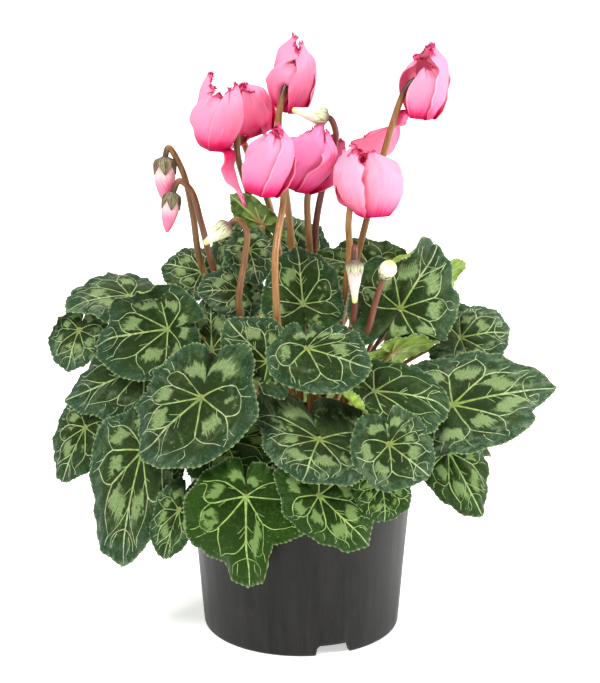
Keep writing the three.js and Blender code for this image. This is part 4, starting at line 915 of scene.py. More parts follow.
def surface(leaf, angle, reach, grow=0.0):
    """Points of a blade's middle surface. grow lengthens the radius there, in millimetres."""
    angle, reach = np.broadcast_arrays(np.asarray(angle, float), np.asarray(reach, float))
    turn = skewed(leaf, angle)
    length, half = leaf["length"], leaf["width"] / 2
    full = full_reach(leaf, angle)
    out = full * reach + grow
    lift = np.zeros_like(out)
    if leaf["roll"]:
        middle, spread = leaf["roll"]
        share = np.cos(np.minimum(1, np.abs(angle - middle) / spread) * math.pi / 2)
        beyond = np.maximum(0, out - full * ROLL_START)
        rolled = (share > 0.01) & (beyond > 0)
        radius = length * ROLL_RADIUS / np.maximum(share, 0.01)
        out = np.where(rolled, full * ROLL_START + radius * np.sin(beyond / radius), out)
        lift = np.where(rolled, radius * (1 - np.cos(beyond / radius)), 0.0)
    u = out * np.cos(turn) / length
    sideways = out * np.sin(turn) * half / (HEART_HALF_WIDTH * length)
    v = np.abs(sideways) / half
    ahead, behind = np.maximum(0, u), np.minimum(0, u)
    lift = lift + length * 4 * leaf["arch"] * ahead * (1 - ahead) - length * leaf["lobes"] * behind * behind
    lift = lift + half * (leaf["fold"] * (np.sqrt(v * v + 0.006) - 0.077) - leaf["droop"] * v * v)
    lift = lift + length * leaf["wave"] * reach * reach * np.sin(leaf["waves"] * turn + leaf["phase"])
    return (
        leaf["hub"]
        + leaf["along"] * (u * length)[..., None]
        + leaf["side"] * sideways[..., None]
        + leaf["up"] * lift[..., None]
    )


def height_over(leaf, points):
    """How far points lie above a blade's surface, and their reach on it."""
    q = points - leaf["hub"]
    a, b, h = q @ leaf["along"], q @ leaf["side"], q @ leaf["up"]
    half, length = leaf["width"] / 2, leaf["length"]
    widened = b * HEART_HALF_WIDTH * length / half
    turn = np.arctan2(widened, a)
    if leaf["skew"]:
        levels = np.radians(np.linspace(-180, 180, 181))
        skewed_turns = skewed(leaf, np.degrees(levels))
        low = skewed_turns[0]
        turn = np.interp(low + np.mod(turn - low, FULL_TURN), skewed_turns, levels)
    angle = np.degrees(turn)
    full = full_reach(leaf, angle)
    divisor = np.maximum(full, CLEFT_REACH * length)
    reach = np.hypot(a, widened) / divisor
    on = surface({**leaf, "roll": None}, angle, np.minimum(reach, 1.3) * divisor / full)
    return h - (on - leaf["hub"]) @ leaf["up"], reach


def settle(leaf, points):
    """Bends a blade's points clear of the blades that it lies under or over."""
    for other, sign in leaf["neighbours"]:
        gap, reach = height_over(other, points)
        push = np.clip(SPACE - sign * gap, 0, MOST_PUSH) * (1 - smoothstep(reach, 1.02, 1.45))
        points = points + other["up"] * (sign * push)[..., None]
    return points


def find_neighbours(leaves):
    """Tells each blade which of those before it it would run into, and on which side of them it is."""
    angles, reaches = np.meshgrid(np.arange(-170, 175, 10.0), np.linspace(0.1, 1, 10))
    for i, leaf in enumerate(leaves):
        for other in leaves[:i]:
            if np.linalg.norm(leaf["hub"] - other["hub"]) > leaf["length"] + other["length"] + 10:
                continue
            gap, reach = height_over(other, settle(leaf, surface(leaf, angles.ravel(), reaches.ravel())))
            gap = gap[reach < 1.0]
            if len(gap) < 2:
                continue
            sign = 1 if np.median(gap) > 0 else -1
            if (sign * gap).min() < SPACE:
                leaf["neighbours"].append((other, sign))


def vein_angles(leaf, reach):
    """Angles of the main veins at a reach, from one side of the cleft to the other."""
    reach = np.asarray(reach, float)[..., None]
    return leaf["veins"] * (1.04 - 0.12 * reach * np.abs(leaf["veins"]) / VEIN_ANGLES[-1])


def sector_of(leaf, angle, reach):
    """0 on a main vein and 1 halfway between two."""
    angles = vein_angles(leaf, reach)
    ends = np.full(angles.shape[:-1] + (1,), 190.0)
    gap = np.abs(angle[..., None] - np.concatenate([-ends, angles, ends], -1))
    near = np.sort(gap, -1)[..., :2]
    return np.clip(2 * near[..., 0] / np.maximum(near.sum(-1), 1e-6), 0, 1)


def relief(leaf, angle, reach, sector):
    """Bulge between the veins and small waves of the margin, in millimetres along the normal."""
    bulge = BLADE_SWELL * np.sin(sector * math.pi / 2)
    bulge = bulge * smoothstep(reach, 0.06, 0.3) * (1 - smoothstep(reach, 0.8, 1.0))
    edge = smoothstep(reach, 0.6, 1.0) ** 2
    return bulge + edge * waves(MARGIN_WAVES, np.radians(angle), leaf) * leaf["length"] / WAVES_FOR


def normals(leaf, angle, reach):
    inner = surface(leaf, angle, np.maximum(reach - 0.03, 0.0))
    outer = surface(leaf, angle, np.maximum(reach, 0.05) + 0.01)
    before = surface(leaf, angle - 1.5, np.maximum(reach, 0.05))
    after = surface(leaf, angle + 1.5, np.maximum(reach, 0.05))
    found = np.cross(outer - inner, after - before)
    found[np.linalg.norm(found, axis=-1) < 1e-9] = leaf["up"]
    near = (1 - smoothstep(reach, 0.05, 0.16))[..., None]
    return unit(unit(found) * (1 - near) + leaf["up"] * near)


def half_thickness(reach):
    """Half of a blade's thickness, which is less towards the margin."""
    return BLADE_HALF_THICK - MARGIN_THINNER * smoothstep(reach, 0.6, 1)


def blade_points(leaf, angle, reach, above, grow=0.0):
    """Points of the blade, above its middle surface by some millimetres, and their sectors."""
    sector = sector_of(leaf, angle, reach)
    raised = relief(leaf, angle, reach, sector)
    points = settle(leaf, surface(leaf, angle, reach, grow))
    return points + normals(leaf, angle, reach) * (raised + above)[..., None], sector


def flat_place(leaf, angle, reach):
    """Where points lie on the blade laid flat, in millimetres and away from every other leaf."""
    turn = np.radians(angle)
    out = full_reach(leaf, angle) * reach
    sideways = out * np.sin(turn) * leaf["width"] / (2 * HEART_HALF_WIDTH * leaf["length"])
    return level(out * np.cos(turn), sideways) + leaf["seed"] * APART


def ray_place(leaf, angle, reach):
    """The turn about the hub and the reach, for what runs outwards."""
    return level(np.radians(angle) + leaf["seed"] * 9.1, reach)


def face_triangles(few, many, flip):
    """Triangles of a blade's face: a fan at the hub, rings of few points, then rings of many."""
    k = np.arange(few)
    after = (k + 1) % few
    a = 1
    corners = [(0, a + k, a + after)]
    for _ in INNER_REACHES[1:]:
        b = a + few
        corners += [(a + k, b + k, b + after), (a + k, b + after, a + after)]
        a = b
    b = a + few
    halfway = b + 2 * k + 1
    corners += [(a + k, b + 2 * k, halfway), (a + k, halfway, a + after)]
    corners += [(a + after, halfway, b + (2 * k + 2) % many)]
    k = np.arange(many)
    after = (k + 1) % many
    for _ in OUTER_REACHES[1:]:
        a, b = b, b + many
        corners += [(a + k, b + k, b + after), (a + k, b + after, a + after)]
    return triangles_of(*((p, r, q) if flip else (p, q, r) for p, q, r in corners))


def add_blade(parts, leaf, spacing):
    """Both faces of the blade and its toothed edge, with about one tooth for each spacing."""
    teeth = int(round((leaf["length"] * 1.5 + leaf["width"] * 1.9) / spacing))
    many, few = 4 * teeth, 2 * teeth
    fine_angles = -180 + 360 * (np.arange(many) + 0.5) / many
    coarse_angles = -180 + 360 * (np.arange(few) + 0.25) / few
    tooth = TOOTH_SHAPE[np.arange(many) % 4]
    uneven = 1 + 0.45 * np.sin(np.arange(many) // 4 * 2.399 + leaf["seed"])
    grow = TOOTH_SIZE * tooth * uneven
    pale_tooth = np.clip(tooth * uneven, 0, 1)
    rows = [(np.zeros(1), 0.0, np.zeros(1), np.zeros(1))]
    rows += [(coarse_angles, reach, np.zeros(few), np.zeros(few)) for reach in INNER_REACHES]
    rows += [
        (fine_angles, reach, grow * smoothstep(reach, 0.9, 1.0), pale_tooth * smoothstep(reach, 0.95, 1.0))
        for reach in OUTER_REACHES
    ]
    angles, growth, pale = (np.concatenate([row[i] for row in rows]) for i in (0, 2, 3))
    reaches = np.concatenate([np.full(len(row[0]), row[1]) for row in rows])
    patch = np.searchsorted(leaf["veins"] * 0.96, angles)
    # painted shade: the underside of leaf_top_young is darkened by this share
    dim = 0.75 if leaf["name"] == "leaf_top_young" else 0.0
    looks = dict(silver=leaf["silver"], green=leaf["green"], dim=dim)
    edge = []
    for face, sign in ((TOP, 1), (UNDER, -1)):
        points, sector = blade_points(leaf, angles, reaches, sign * half_thickness(reaches), growth)
        edge.append(points[-many:])
        parts.add(
            points, face_triangles(few, many, face == UNDER), face, flat=flat_place(leaf, angles, reaches),
            ray=ray_place(leaf, angles, reaches), reach=reaches, sector=sector, tooth=pale,
            spot=leaf["patch_strengths"][patch], shift=leaf["patch_shifts"][patch], **looks,
        )
    k = np.arange(many)
    after = (k + 1) % many
    strip = triangles_of((k, many + k, many + after), (k, many + after, after))
    flat = np.tile(flat_place(leaf, fine_angles, np.ones(many)), (2, 1))
    parts.add(
        np.concatenate(edge), strip, TOP, flat=flat, reach=1.0, sector=0.5, tooth=np.tile(pale_tooth, 2),
        **looks,
    )


def add_vein(parts, leaf, line, start_width, end_width, face=TOP):
    """A raised vein along a line of (angle, reach) on one face of the blade."""
    line = np.array(line, float)
    steps = np.linspace(0, 1, 5 * len(line) - 3)
    # an angle counts for a hundredth here, so that neither of the two outweighs the other
    smooth = curve_through(np.c_[line[:, 0] * 0.01, line[:, 1], np.zeros(len(line))], steps)
    angle, reach = smooth[:, 0] * 100, np.clip(smooth[:, 1], 0.0, 0.995)
    centre, _ = blade_points(leaf, angle, reach, np.zeros(len(angle)))
    normal = normals(leaf, angle, reach)
    across = unit(np.cross(normal, unit(np.gradient(centre, axis=0))))
    width = np.linspace(start_width, end_width, len(angle))[:, None]
    sign = 1 if face == TOP else -1
    base = half_thickness(reach)[:, None]
    crest = base + np.minimum(VEIN_HEIGHT[face], 0.45 * width)
    low, high = base - VEIN_SUNK, base + (crest - base) * 0.75
    section = [(1, low), (0.45, high), (-0.45, high), (-1, low)]
    points = np.stack([centre + across * width * w + normal * sign * h for w, h in section], 1)
    r = np.repeat(reach, len(section))
    parts.add(
        points, grid_triangles(len(angle), len(section), flip=sign < 0), (VEIN, RIB)[face],
        flat=flat_place(leaf, np.repeat(angle, len(section)), r), reach=r, silver=leaf["silver"],
        green=leaf["green"],
    )


def add_veins(parts, leaf, rng):
    """Main veins from the hub, arms that loop from each to the next, and short twigs."""
    count = len(leaf["veins"])
    middle = count // 2
    main = MAIN_VEIN + 0.2 * leaf["length"] / 50
    arm, twig = ARM * main, TWIG * main

    def at(index, reach):
        return float(vein_angles(leaf, np.array([reach]))[0, index])

    for face in (TOP, UNDER):
        for i in range(count):
            is_middle = i == middle
            steps = np.array([0.0, 0.25, 0.5, 0.75, 0.98] if is_middle else [0.0, 0.15, 0.3, 0.45, 0.57])
            sway = rng.uniform(-2.5, 2.5, len(steps)) * steps
            line = [(at(i, r) + w, r) for r, w in zip(steps, sway)]
            strength = 1.5 if is_middle else rng.uniform(0.95, 1.2)
            add_vein(parts, leaf, line, main * strength, 0.3 if is_middle else arm, face)
    for i in range(count - 1):
        a, b = at(i, 0.6), at(i + 1, 0.6)
        # two arms that meet between the main veins, or pass each other
        place = 0.5 + rng.uniform(-0.16, 0.16)
        meet = (a + (b - a) * place, rng.uniform(0.74, 0.84))
        for origin, first, towards in ((i, a, b - a), (i + 1, b, a - b)):
            share = place if origin == i else 1 - place
            fork = 0.44 if origin == middle else 0.56
            joined = rng.uniform() < 0.7
            last = meet if joined else (first + towards * share * 0.85, 0.88)
            line = [
                (at(origin, fork), fork),
                (first + towards * share * 0.34, fork + 0.13),
                (first + towards * share * 0.7, 0.5 * (fork + 0.14 + last[1])),
                last,
            ]
            strength = rng.uniform(0.65, 1.2)
            add_vein(parts, leaf, line, strength * arm, 0.5 * strength * arm)
        # a twig from where they meet, one from a main vein, and one near the margin
        line = [meet, (meet[0] + rng.uniform(-2, 2), 0.85), (meet[0] + rng.uniform(-3, 3), 0.92)]
        add_vein(parts, leaf, line, twig, 0.2)
        origin, towards = (i, b - a) if rng.uniform() < 0.5 else (i + 1, a - b)
        start = rng.uniform(0.26, 0.4)
        first = at(origin, start)
        second, third = first + towards * 0.13, first + towards * 0.24
        line = [(first, start), (second, start + 0.05), (third, start + 0.12)]
        add_vein(parts, leaf, line, twig, 0.14)
        angle = a + (b - a) * rng.choice([0.2, 0.8])
        line = [(angle, 0.74), (angle + rng.uniform(-3, 3), 0.82), (angle + rng.uniform(-5, 5), 0.9)]
        add_vein(parts, leaf, line, twig, 0.16)
    for side in (-1, 1):
        fork = [(0, 0.64), (side * 9, 0.72), (side * 13, 0.81), (side * 12, 0.91)]
        add_vein(parts, leaf, fork, 0.8 * arm, 0.3 * arm)
        add_vein(parts, leaf, [(0, 0.28), (side * 8, 0.34), (side * 16, 0.43)], twig, 0.14)


def ring_roots(members, heading, radius, height):
    """Points at even steps round a ring, in the order of the members' headings."""
    members = sorted(members, key=heading)
    step = FULL_TURN / len(members)
    start = sum(heading(m) - i * step for i, m in enumerate(members)) / len(members)
    angles = [start + i * step for i in range(len(members))]
    return {
        m["name"]: np.array([radius * math.cos(a), radius * math.sin(a), height])
        for m, a in zip(members, angles)
    }


def tuber_height(radius):
    share = min(1.0, radius / TUBER_RADIUS)
    return TUBER_MIDDLE + (TUBER_TOP - TUBER_MIDDLE) * math.sqrt(1 - share * share)


def leaf_roots():
    """Where each leaf's stalk starts, in its ring on the tuber."""
    roots = {}
    for ring in STALK_RISE:
        members = [leaf for leaf in LEAVES if leaf["ring"] == ring]
        radius = RING_RADIUS[ring]
        height = tuber_height(radius) - 1
        roots.update(ring_roots(members, lambda m: math.atan2(m["hub"][1], m["hub"][0]), radius, height))
    return roots


LEAF_ROOTS = leaf_roots()


def leaf_stalk_line(leaf, share):
    """The stalk's middle line, from the tuber up and outwards to the hub."""
    root = LEAF_ROOTS[leaf["name"]]
    outward = unit(np.array([root[0], root[1], 0]))
    rise = root + UP * leaf.get("rise", STALK_RISE[leaf["ring"]]) + outward * STALK_LEAN
    arrival = unit(leaf["arrive"] or leaf["along"] * 0.7 + leaf["up"] * 0.5)
    behind = leaf["hub"] - arrival * STALK_REACH
    end = leaf["hub"] - leaf["up"] * 0.5
    t = share[:, None]
    return root * (1 - t) ** 3 + rise * 3 * t * (1 - t) ** 2 + behind * 3 * t * t * (1 - t) + end * t**3


def add_leaf_stalk(parts, leaf):
    share = np.linspace(0, 1, LEAF_STALK_STEPS)
    radii = LEAF_STALK_RADIUS - LEAF_STALK_TAPER * smoothstep(share, 0, 0.5)
    radii = radii + HUB_SWELL * smoothstep(share, 0.93, 1.0)
    points, triangles = tube(leaf_stalk_line(leaf, share), radii, LEAF_STALK_SIDES)
    along = np.r_[np.repeat(share, LEAF_STALK_SIDES), 0.0, 1.0]
    parts.add(points, triangles, LEAF_STALK, along=along, silver=leaf["silver"], green=leaf["green"])


def make_leaf(leaf):
    hidden = "back" in leaf["name"] and not leaf["name"].startswith("leaf_top")
    parts = Parts()
    add_blade(parts, leaf, HIDDEN_TOOTH_SPACING if hidden else TOOTH_SPACING)
    add_veins(parts, leaf, np.random.default_rng(int(leaf["seed"] * 100)))
    add_leaf_stalk(parts, leaf)
    parts.make(leaf["name"], LEAF_MATERIALS)


leaves = [with_frame(row, number) for number, row in enumerate(LEAVES)]
leaves.sort(key=lambda leaf: (BEHIND_ALL if "back" in leaf["name"] else 0) + leaf["hub"][1])
find_neighbours(leaves)
for leaf in leaves:
    make_leaf(leaf)

# Blooms. A place on a petal is along it, from 0 at the mouth to 1 at its end, and over it, from -1
# to 1. The nose's X sets the phase of each bloom's own waves

PETAL_ROWS, PETAL_COLUMNS = 40, 25
PETAL_THICK = 0.4
NOSE_DRAWN_IN = 1.9  # how much nearer the axis a petal is just above the mouth
SHOULDER = 2.0  # how far a petal stands out at its shoulder
SHOULDER_OPENING = 18  # degrees of opening from which it has no shoulder and its tip isn't closed
OPEN_UNLIKE = 2  # degrees by which the petals of a bloom differ in opening
END_WAVE = 1.6  # how uneven a petal's end is
PETAL_HALF_FLAT, PETAL_LONG = 11, 38  # a petal's half width and length in its material
PETALS_APART, BLOOMS_APART = 40, 300  # how far apart petals and blooms are there
FRINGE_TEETH = 30
FRINGE_LENGTHS = (0.9, 2.3)
FRINGE_HALF_WIDTHS = (0.25, 0.5)
THROAT_SIDES = 60
THROAT_THICK = 0.5
MOUTH_RING = (6.9, 0.3)  # radius and height of the thickening round the mouth
MOUTH_THICK = 0.75
STALK_SPACE = (2.0, 4.6)  # a petal nearer to its stalk than this is dented
DENT = 5.0


def bloom_frame(bloom):
    """The nose and the bloom's axes: up, out to the stalk's side, and across."""
    up = unit(bloom["lean"])
    angle = math.radians(bloom["side"])
    out = np.array([math.cos(angle), math.sin(angle), 0.0])
    out = unit(out - up * np.dot(out, up))
    return bloom["nose"], up, out, np.cross(up, out)


def petal_profile(bloom, petal, along, over):
    """A petal's radius and height above the nose, bent out by its opening."""
    own = bloom["nose"][0]
    line = spline(PETAL_LINE, along * (len(PETAL_LINE) - 1))
    radius, height = line[..., 0], line[..., 1]
    unlike = math.sin(petal * 2.4 + own)
    longer = bloom["reach"][petal] - 1 + PETAL_UNLIKE * unlike - PETAL_POINT * over * over
    height = height * (1 + longer * along)
    height = height + END_WAVE * np.sin(over * 4.2 + 2 * petal + own) * smoothstep(along, 0.7, 1.0)
    opening = bloom["open"][petal] + OPEN_UNLIKE * math.sin(petal * 4.1 + own)
    radius = radius - NOSE_DRAWN_IN * (1 - smoothstep(along, 0.12, 0.55))
    if opening < SHOULDER_OPENING:
        closing = bloom["shut"] * smoothstep(along, 0.84, 1.0)
        radius = radius + SHOULDER * smoothstep(along, 0.5, 0.78) - closing
    bend = math.radians(opening) * smoothstep(along, 0.08, 0.52)
    pivot_radius, pivot_height = PETAL_LINE[1]
    dr, dh = radius - pivot_radius, height - pivot_height
    if bloom["open"][petal] > HANGING:
        dr = dr * bloom["bulge"]
    radius = pivot_radius + dr * np.cos(bend) + dh * np.sin(bend)
    height = pivot_height + dh * np.cos(bend) - dr * np.sin(bend)
    return radius, height


def petal_ruffle(bloom, phase, along, over):
    """Waves of a petal's end and of its outer margin, in millimetres outwards."""
    edge = smoothstep(along, 0.72, 1.0)
    ruffle = edge * (RUFFLE * np.cos(over * math.pi * 3 + 0.3 * phase) + 0.6 * np.sin(over * 17 + phase))
    margin = smoothstep(bloom["lap"] * over, 0.7, 1.0) * smoothstep(along, 0.2, 0.5)
    return ruffle + margin * (0.7 * np.sin(along * 15 + phase) + 0.35 * np.sin(along * 31 + 2 * phase))


def petal_surface(bloom, petal, along, over):
    """Points of a petal's middle surface."""
    nose, up, out, across = bloom_frame(bloom)
    hangs = bloom["open"][petal] > HANGING
    along, over = np.broadcast_arrays(along, over)
    radius, height = petal_profile(bloom, petal, along, over)
    half = spline(PETAL_HALF_WIDTHS, along * (len(PETAL_LINE) - 1))[..., 0]
    if hangs:
        half = half * (1 - bloom["slim"] * smoothstep(along, 0.3, 0.8))
    sideways = over * half
    phase = petal * 1.7 + nose[0]
    ruffle = petal_ruffle(bloom, phase, along, over)
    twist = HANGING_TWIST if hangs else bloom["twist"]
    angle = np.radians((petal + 0.5) * 360 / BLOOM_PETALS + bloom["aside"][petal] + twist * along)
    round_bloom = angle + np.arctan2(sideways, np.maximum(radius, 6))
    # fine ridges along the petal, broad folds round the bloom, and the inner side under its neighbour
    vein = 0.14 * np.sin(over * 24 + 3 * np.sin(along * 2 + phase)) * smoothstep(along, 0.1, 0.3)
    vein = vein + 0.7 * np.sin(3 * round_bloom + along * 5 + nose[0]) * smoothstep(along, 0.3, 0.6)
    vein = vein - 1.3 * smoothstep(-bloom["lap"] * over, 0.45, 1.0) * smoothstep(along, 0.1, 0.3)
    bent = sideways * sideways / (2 * PETAL_BEND)
    outside = SHINGLE * bloom["lap"] * over
    away = radius + (outside - bent) * np.minimum(1, along * 2) + ruffle + vein
    radial = round_axis(out, across, angle)
    tangent = round_axis(across, -out, angle)
    if hangs:
        spin = math.radians(HANGING_TURN) * bloom["spin"] * np.minimum(1, along * 1.5)[..., None]
        tangent = tangent * np.cos(spin) + up * np.sin(spin)
    girth = bloom["size"] * bloom["girth"]
    found = (
        nose
        + radial * (away * girth)[..., None]
        + tangent * (sideways * girth)[..., None]
        + up * (height * bloom["size"])[..., None]
    )
    turn = np.radians((petal + (over + 1) / 2) * 360 / BLOOM_PETALS)
    mouth_radius, mouth_height = THROAT[-1]
    mouth = nose + round_axis(out, across, turn) * (mouth_radius * girth)
    mouth = mouth + up * (mouth_height * bloom["size"])
    share = smoothstep(along, 0.0, 0.14)[..., None]
    return mouth * (1 - share) + found * share


def stalk_end(bloom):
    """The last points of a flower's stalk, which hooks over into the bloom's mouth."""
    nose, up, out, _ = bloom_frame(bloom)
    size = bloom["size"]
    top = THROAT_TOP * size
    places = [(13 * size, -4), (9, top + 3), (5, top + 8), (0.6, top + 6.5), (0, top + 1.5)]
    return [nose + out * away + up * height for away, height in places]


def clear_of_stalk(bloom, points):
    """Dents a petal where the stalk passes it, and gives each point's share of painted shade beside the
    stalk.
    """
    nose, up, _, _ = bloom_frame(bloom)
    line = curve_through(stalk_end(bloom)[:3], np.linspace(0, 1, 25))
    distance = np.linalg.norm(points[..., None, :] - line, axis=-1)
    nearest = distance.argmin(-1)
    distance = distance.min(-1)
    near = 1 - smoothstep(distance, *STALK_SPACE)
    inward = nose + up * ((points - nose) @ up)[..., None] - points
    depth = np.minimum(DENT * near, 0.8 * np.linalg.norm(inward, axis=-1))
    # painted shade beside the stalk, near its end
    dark = (1 - smoothstep(distance, 2.2, 3.6)) * smoothstep(nearest, 9, 13)
    return points + unit(inward + 1e-9) * depth[..., None], dark


def add_petal(parts, bloom, number, petal, rng):
    along, over = np.meshgrid(
        np.linspace(0, 1, PETAL_ROWS) ** 0.9, np.linspace(-1, 1, PETAL_COLUMNS), indexing="ij"
    )
    points, dark = clear_of_stalk(bloom, petal_surface(bloom, petal, along, over))
    jag = rng.uniform(-1, 1, PETAL_COLUMNS)
    points[-1] += unit(points[-1] - points[-2]) * (jag * 0.7)[:, None]
    across = over * PETAL_HALF_FLAT + petal * PETALS_APART + number * BLOOMS_APART
    add_sheet(
        parts, points, PETAL_THICK, PETAL, petal=level(across, along * PETAL_LONG), along=along,
        over=bloom["lap"] * over, dark=dark, pale=bloom["pale"], lilac=bloom["lilac"],
    )


def add_fringe(parts, bloom, petal, rng):
    """Small crimson teeth along a petal's end."""
    faces = [(0, 2, 4), (2, 1, 4), (1, 3, 4), (3, 0, 4), (0, 3, 2), (1, 2, 3)]
    for k in range(FRINGE_TEETH):
        over = rng.uniform(-1, 1)
        along = np.array([0.93 + 0.07 * rng.uniform(), 1.0])
        behind, base = petal_surface(bloom, petal, along, np.array([over, over]))
        beside = petal_surface(bloom, petal, np.array([1.0]), np.array([over + 0.04]))[0]
        ahead, wide = unit(base - behind), unit(beside - base)
        outward = np.cross(ahead, wide)
        lean = unit(ahead + wide * rng.uniform(-1.1, 1.1) + outward * rng.uniform(-0.8, 0.8))
        long = rng.uniform(*FRINGE_LENGTHS)
        thick = outward * 0.16
        half = wide * rng.uniform(*FRINGE_HALF_WIDTHS)
        root = base - ahead * 0.8
        tooth = [root - half, root + half, base - thick * 1.6, base + thick * 1.6, base + lean * long]
        across = over * PETAL_HALF_FLAT + petal * PETALS_APART + k
        flat = np.tile([across, PETAL_LONG, 0.0], (len(tooth), 1))
        parts.add(
            tooth, faces, FRINGE, petal=flat, along=1.0, over=0.5, pale=bloom["pale"], lilac=bloom["lilac"]
        )


def add_throat(parts, bloom, number):
    """The tube that the petals grow from, and its thickened mouth."""
    nose, up, out, across = bloom_frame(bloom)
    girth = bloom["size"] * bloom["girth"]
    turn = turns(THROAT_SIDES)
    (top_radius, top_height), middle, mouth = THROAT
    profile = [[0.6, top_height - 0.2], [top_radius * 0.75, top_height], THROAT[0], middle, [6.3, 3.4]]
    profile += [mouth, [7.6, 0.9]]
    lobed = 1 + 0.03 * np.cos(BLOOM_PETALS * turn)
    grid = np.stack([
        nose + round_axis(out, across, turn) * (radius * girth * lobed)[:, None] + up * height * bloom["size"]
        for radius, height in profile
    ])
    heights = np.repeat([height for _, height in profile], THROAT_SIDES)
    flat = level(np.tile(turn * 8, len(profile)), heights)
    add_sheet(parts, grid, THROAT_THICK, PETAL, closed=True, petal=flat, along=0.02)
    radius, height = MOUTH_RING
    rim = nose + round_axis(out, across, turn) * (radius * girth) + up * height * bloom["size"]
    points, triangles = tube(np.concatenate([rim, rim[:2]]), MOUTH_THICK, 8, cap=False)
    parts.add(points, triangles, PETAL, petal=np.tile([float(number), 0.0, 0.0], (len(points), 1)))


def make_bloom(bloom, number):
    rng = np.random.default_rng(500 + number)
    parts = Parts()
    for petal in range(BLOOM_PETALS):
        add_petal(parts, bloom, number, petal, rng)
        add_fringe(parts, bloom, petal, rng)
    add_throat(parts, bloom, number)
    parts.make(bloom["name"], PETAL_MATERIALS)


for number, bloom in enumerate(BLOOMS):
    make_bloom(bloom, number)

# Buds

BUD_ROWS, BUD_COLUMNS = 34, 40
BUD_TWIST = 2.6  # how far a bud's petals wind round it, in radians
BUDS_APART = 60  # how far apart buds are in their material


def bud_frame(bud):
    """The bud's base, its axes and its length."""
    base, point = bud["base"], bud["point"]
    length = float(np.linalg.norm(point - base))
    along = (point - base) / length
    across = unit(np.cross(along, [0.2, 0.9, 0.35]))
    return base, along, across, np.cross(along, across), length + SEPAL_LENGTH


def make_bud(bud, number):
    """Five petals rolled in a spiral to a cone, flask or ball."""
    base, ahead, across, other, length = bud_frame(bud)
    rows, columns = BUD_ROWS, BUD_COLUMNS
    along, turn = np.meshgrid(np.linspace(0, 1, rows), turns(columns), indexing="ij")
    radius = np.interp(along, BUD_PLACES, bud["outline"]) * bud["radius"]
    spiral = (turn + along * BUD_TWIST) * BLOOM_PETALS / FULL_TURN
    lap = spiral - np.floor(spiral)
    radius = radius * (1 - 0.13 * smoothstep(lap, 0.8, 1.0) + 0.05 * lap)
    radius = radius * (1 + 0.02 * np.sin(turn * 3 + number))
    points = (
        base
        + ahead * (along * length)[..., None]
        + across * (radius * np.cos(turn))[..., None]
        + other * (radius * np.sin(turn))[..., None]
    )
    flat = level(turn * 5 + along * 9 + number * BUDS_APART, along * length)
    k = np.arange(columns)
    cap = triangles_of((rows * columns, (k + 1) % columns, k))
    parts = Parts()
    parts.add(
        np.concatenate([points.reshape(-1, 3), base[None]]),
        np.concatenate([grid_triangles(rows, columns, closed=True), cap]),
        PETAL,
        petal=np.concatenate([flat.reshape(-1, 3), flat[0, :1]]),
        along=np.r_[along.ravel(), 0.0],
    )
    parts.make(bud["name"], [BUD_MATERIALS[bud["look"]]])


for number, bud in enumerate(BUDS):
    make_bud(bud, number)

# Tuber, flower stalks and calyxes

FLOWERS = [*BLOOMS, *BUDS]
FLOWER_ROOTS = ring_roots(
    FLOWERS, lambda m: math.atan2(m["path"][0][1], m["path"][0][0]), RING_RADIUS["flower"],
    TUBER_TOP - ROOT_DEPTH,
)
FLOWER_STALK_RADIUS = 1.9
STALK_STEPS, STALK_SIDES = 70, 14
STALK_TAPER = 0.35
SEPALS = 5
SEPAL_ROWS, SEPAL_COLUMNS = 12, 7
SEPAL_THICK = 0.45
SEPAL_PLACES = [0, 0.25, 0.5, 0.75, 1]
SEPAL_HALF_ANGLES = [39, 40, 33, 18, 1.5]  # half a sepal's width there, in degrees round the cup
CUP_NECK = 1.5  # radius of a calyx where it leaves its stalk
TUBER_ROWS, TUBER_COLUMNS = 28, 72


def add_sepals(parts, frame_of_cup, inner, length, spread, root, light=0.0):
    """Pointed sepals in a cup, from a neck at root below its base to length above it. spread is how
    much wider the cup is at the sepals' points than at inner."""
    base, up, out, across = frame_of_cup
    along, over = np.meshgrid(
        np.linspace(0, 1, SEPAL_ROWS), np.linspace(-1, 1, SEPAL_COLUMNS), indexing="ij"
    )
    half = np.interp(along, SEPAL_PLACES, SEPAL_HALF_ANGLES)
    radius = np.interp(along, [0, 0.18, 0.4, 1], [CUP_NECK, inner * 0.9, inner, inner + spread])
    radius = radius + 0.35 * (1 - np.abs(over)) * smoothstep(along, 0.1, 0.4)
    height = -root + (root + length) * along - 0.4 * (1 - over * over) * smoothstep(along, 0.9, 1)
    for k in range(SEPALS):
        angle = np.radians(360 / SEPALS * k + over * half)
        points = base + round_axis(out, across, angle) * radius[..., None] + up * height[..., None]
        flat = level(over * 4 + k * 13 + base[0], along * length)
        add_sheet(parts, points, SEPAL_THICK, CALYX, petal=flat, along=along, light=light)


def add_bloom_cup(parts, bloom):
    nose, up, out, across = bloom_frame(bloom)
    size = bloom["size"]
    add_sepals(parts, (nose + up * (THROAT_TOP * size + 0.9), up, out, across), 5.2 * size, 1.4, 1.6, 3.6)


def add_bud_cup(parts, bud):
    inner, length, spread, root = bud["radius"] + 0.4, SEPAL_LENGTH + 1.0, -0.1, 3.0
    if bud["outline"] is FLASK:
        spread = -1.3
    if bud["outline"] is BALL:
        inner, length, spread, root = 0.6 * bud["radius"], 2.6, 1.5, 1.2
    add_sepals(parts, bud_frame(bud)[:4], inner, length, spread, root, bud["light"])


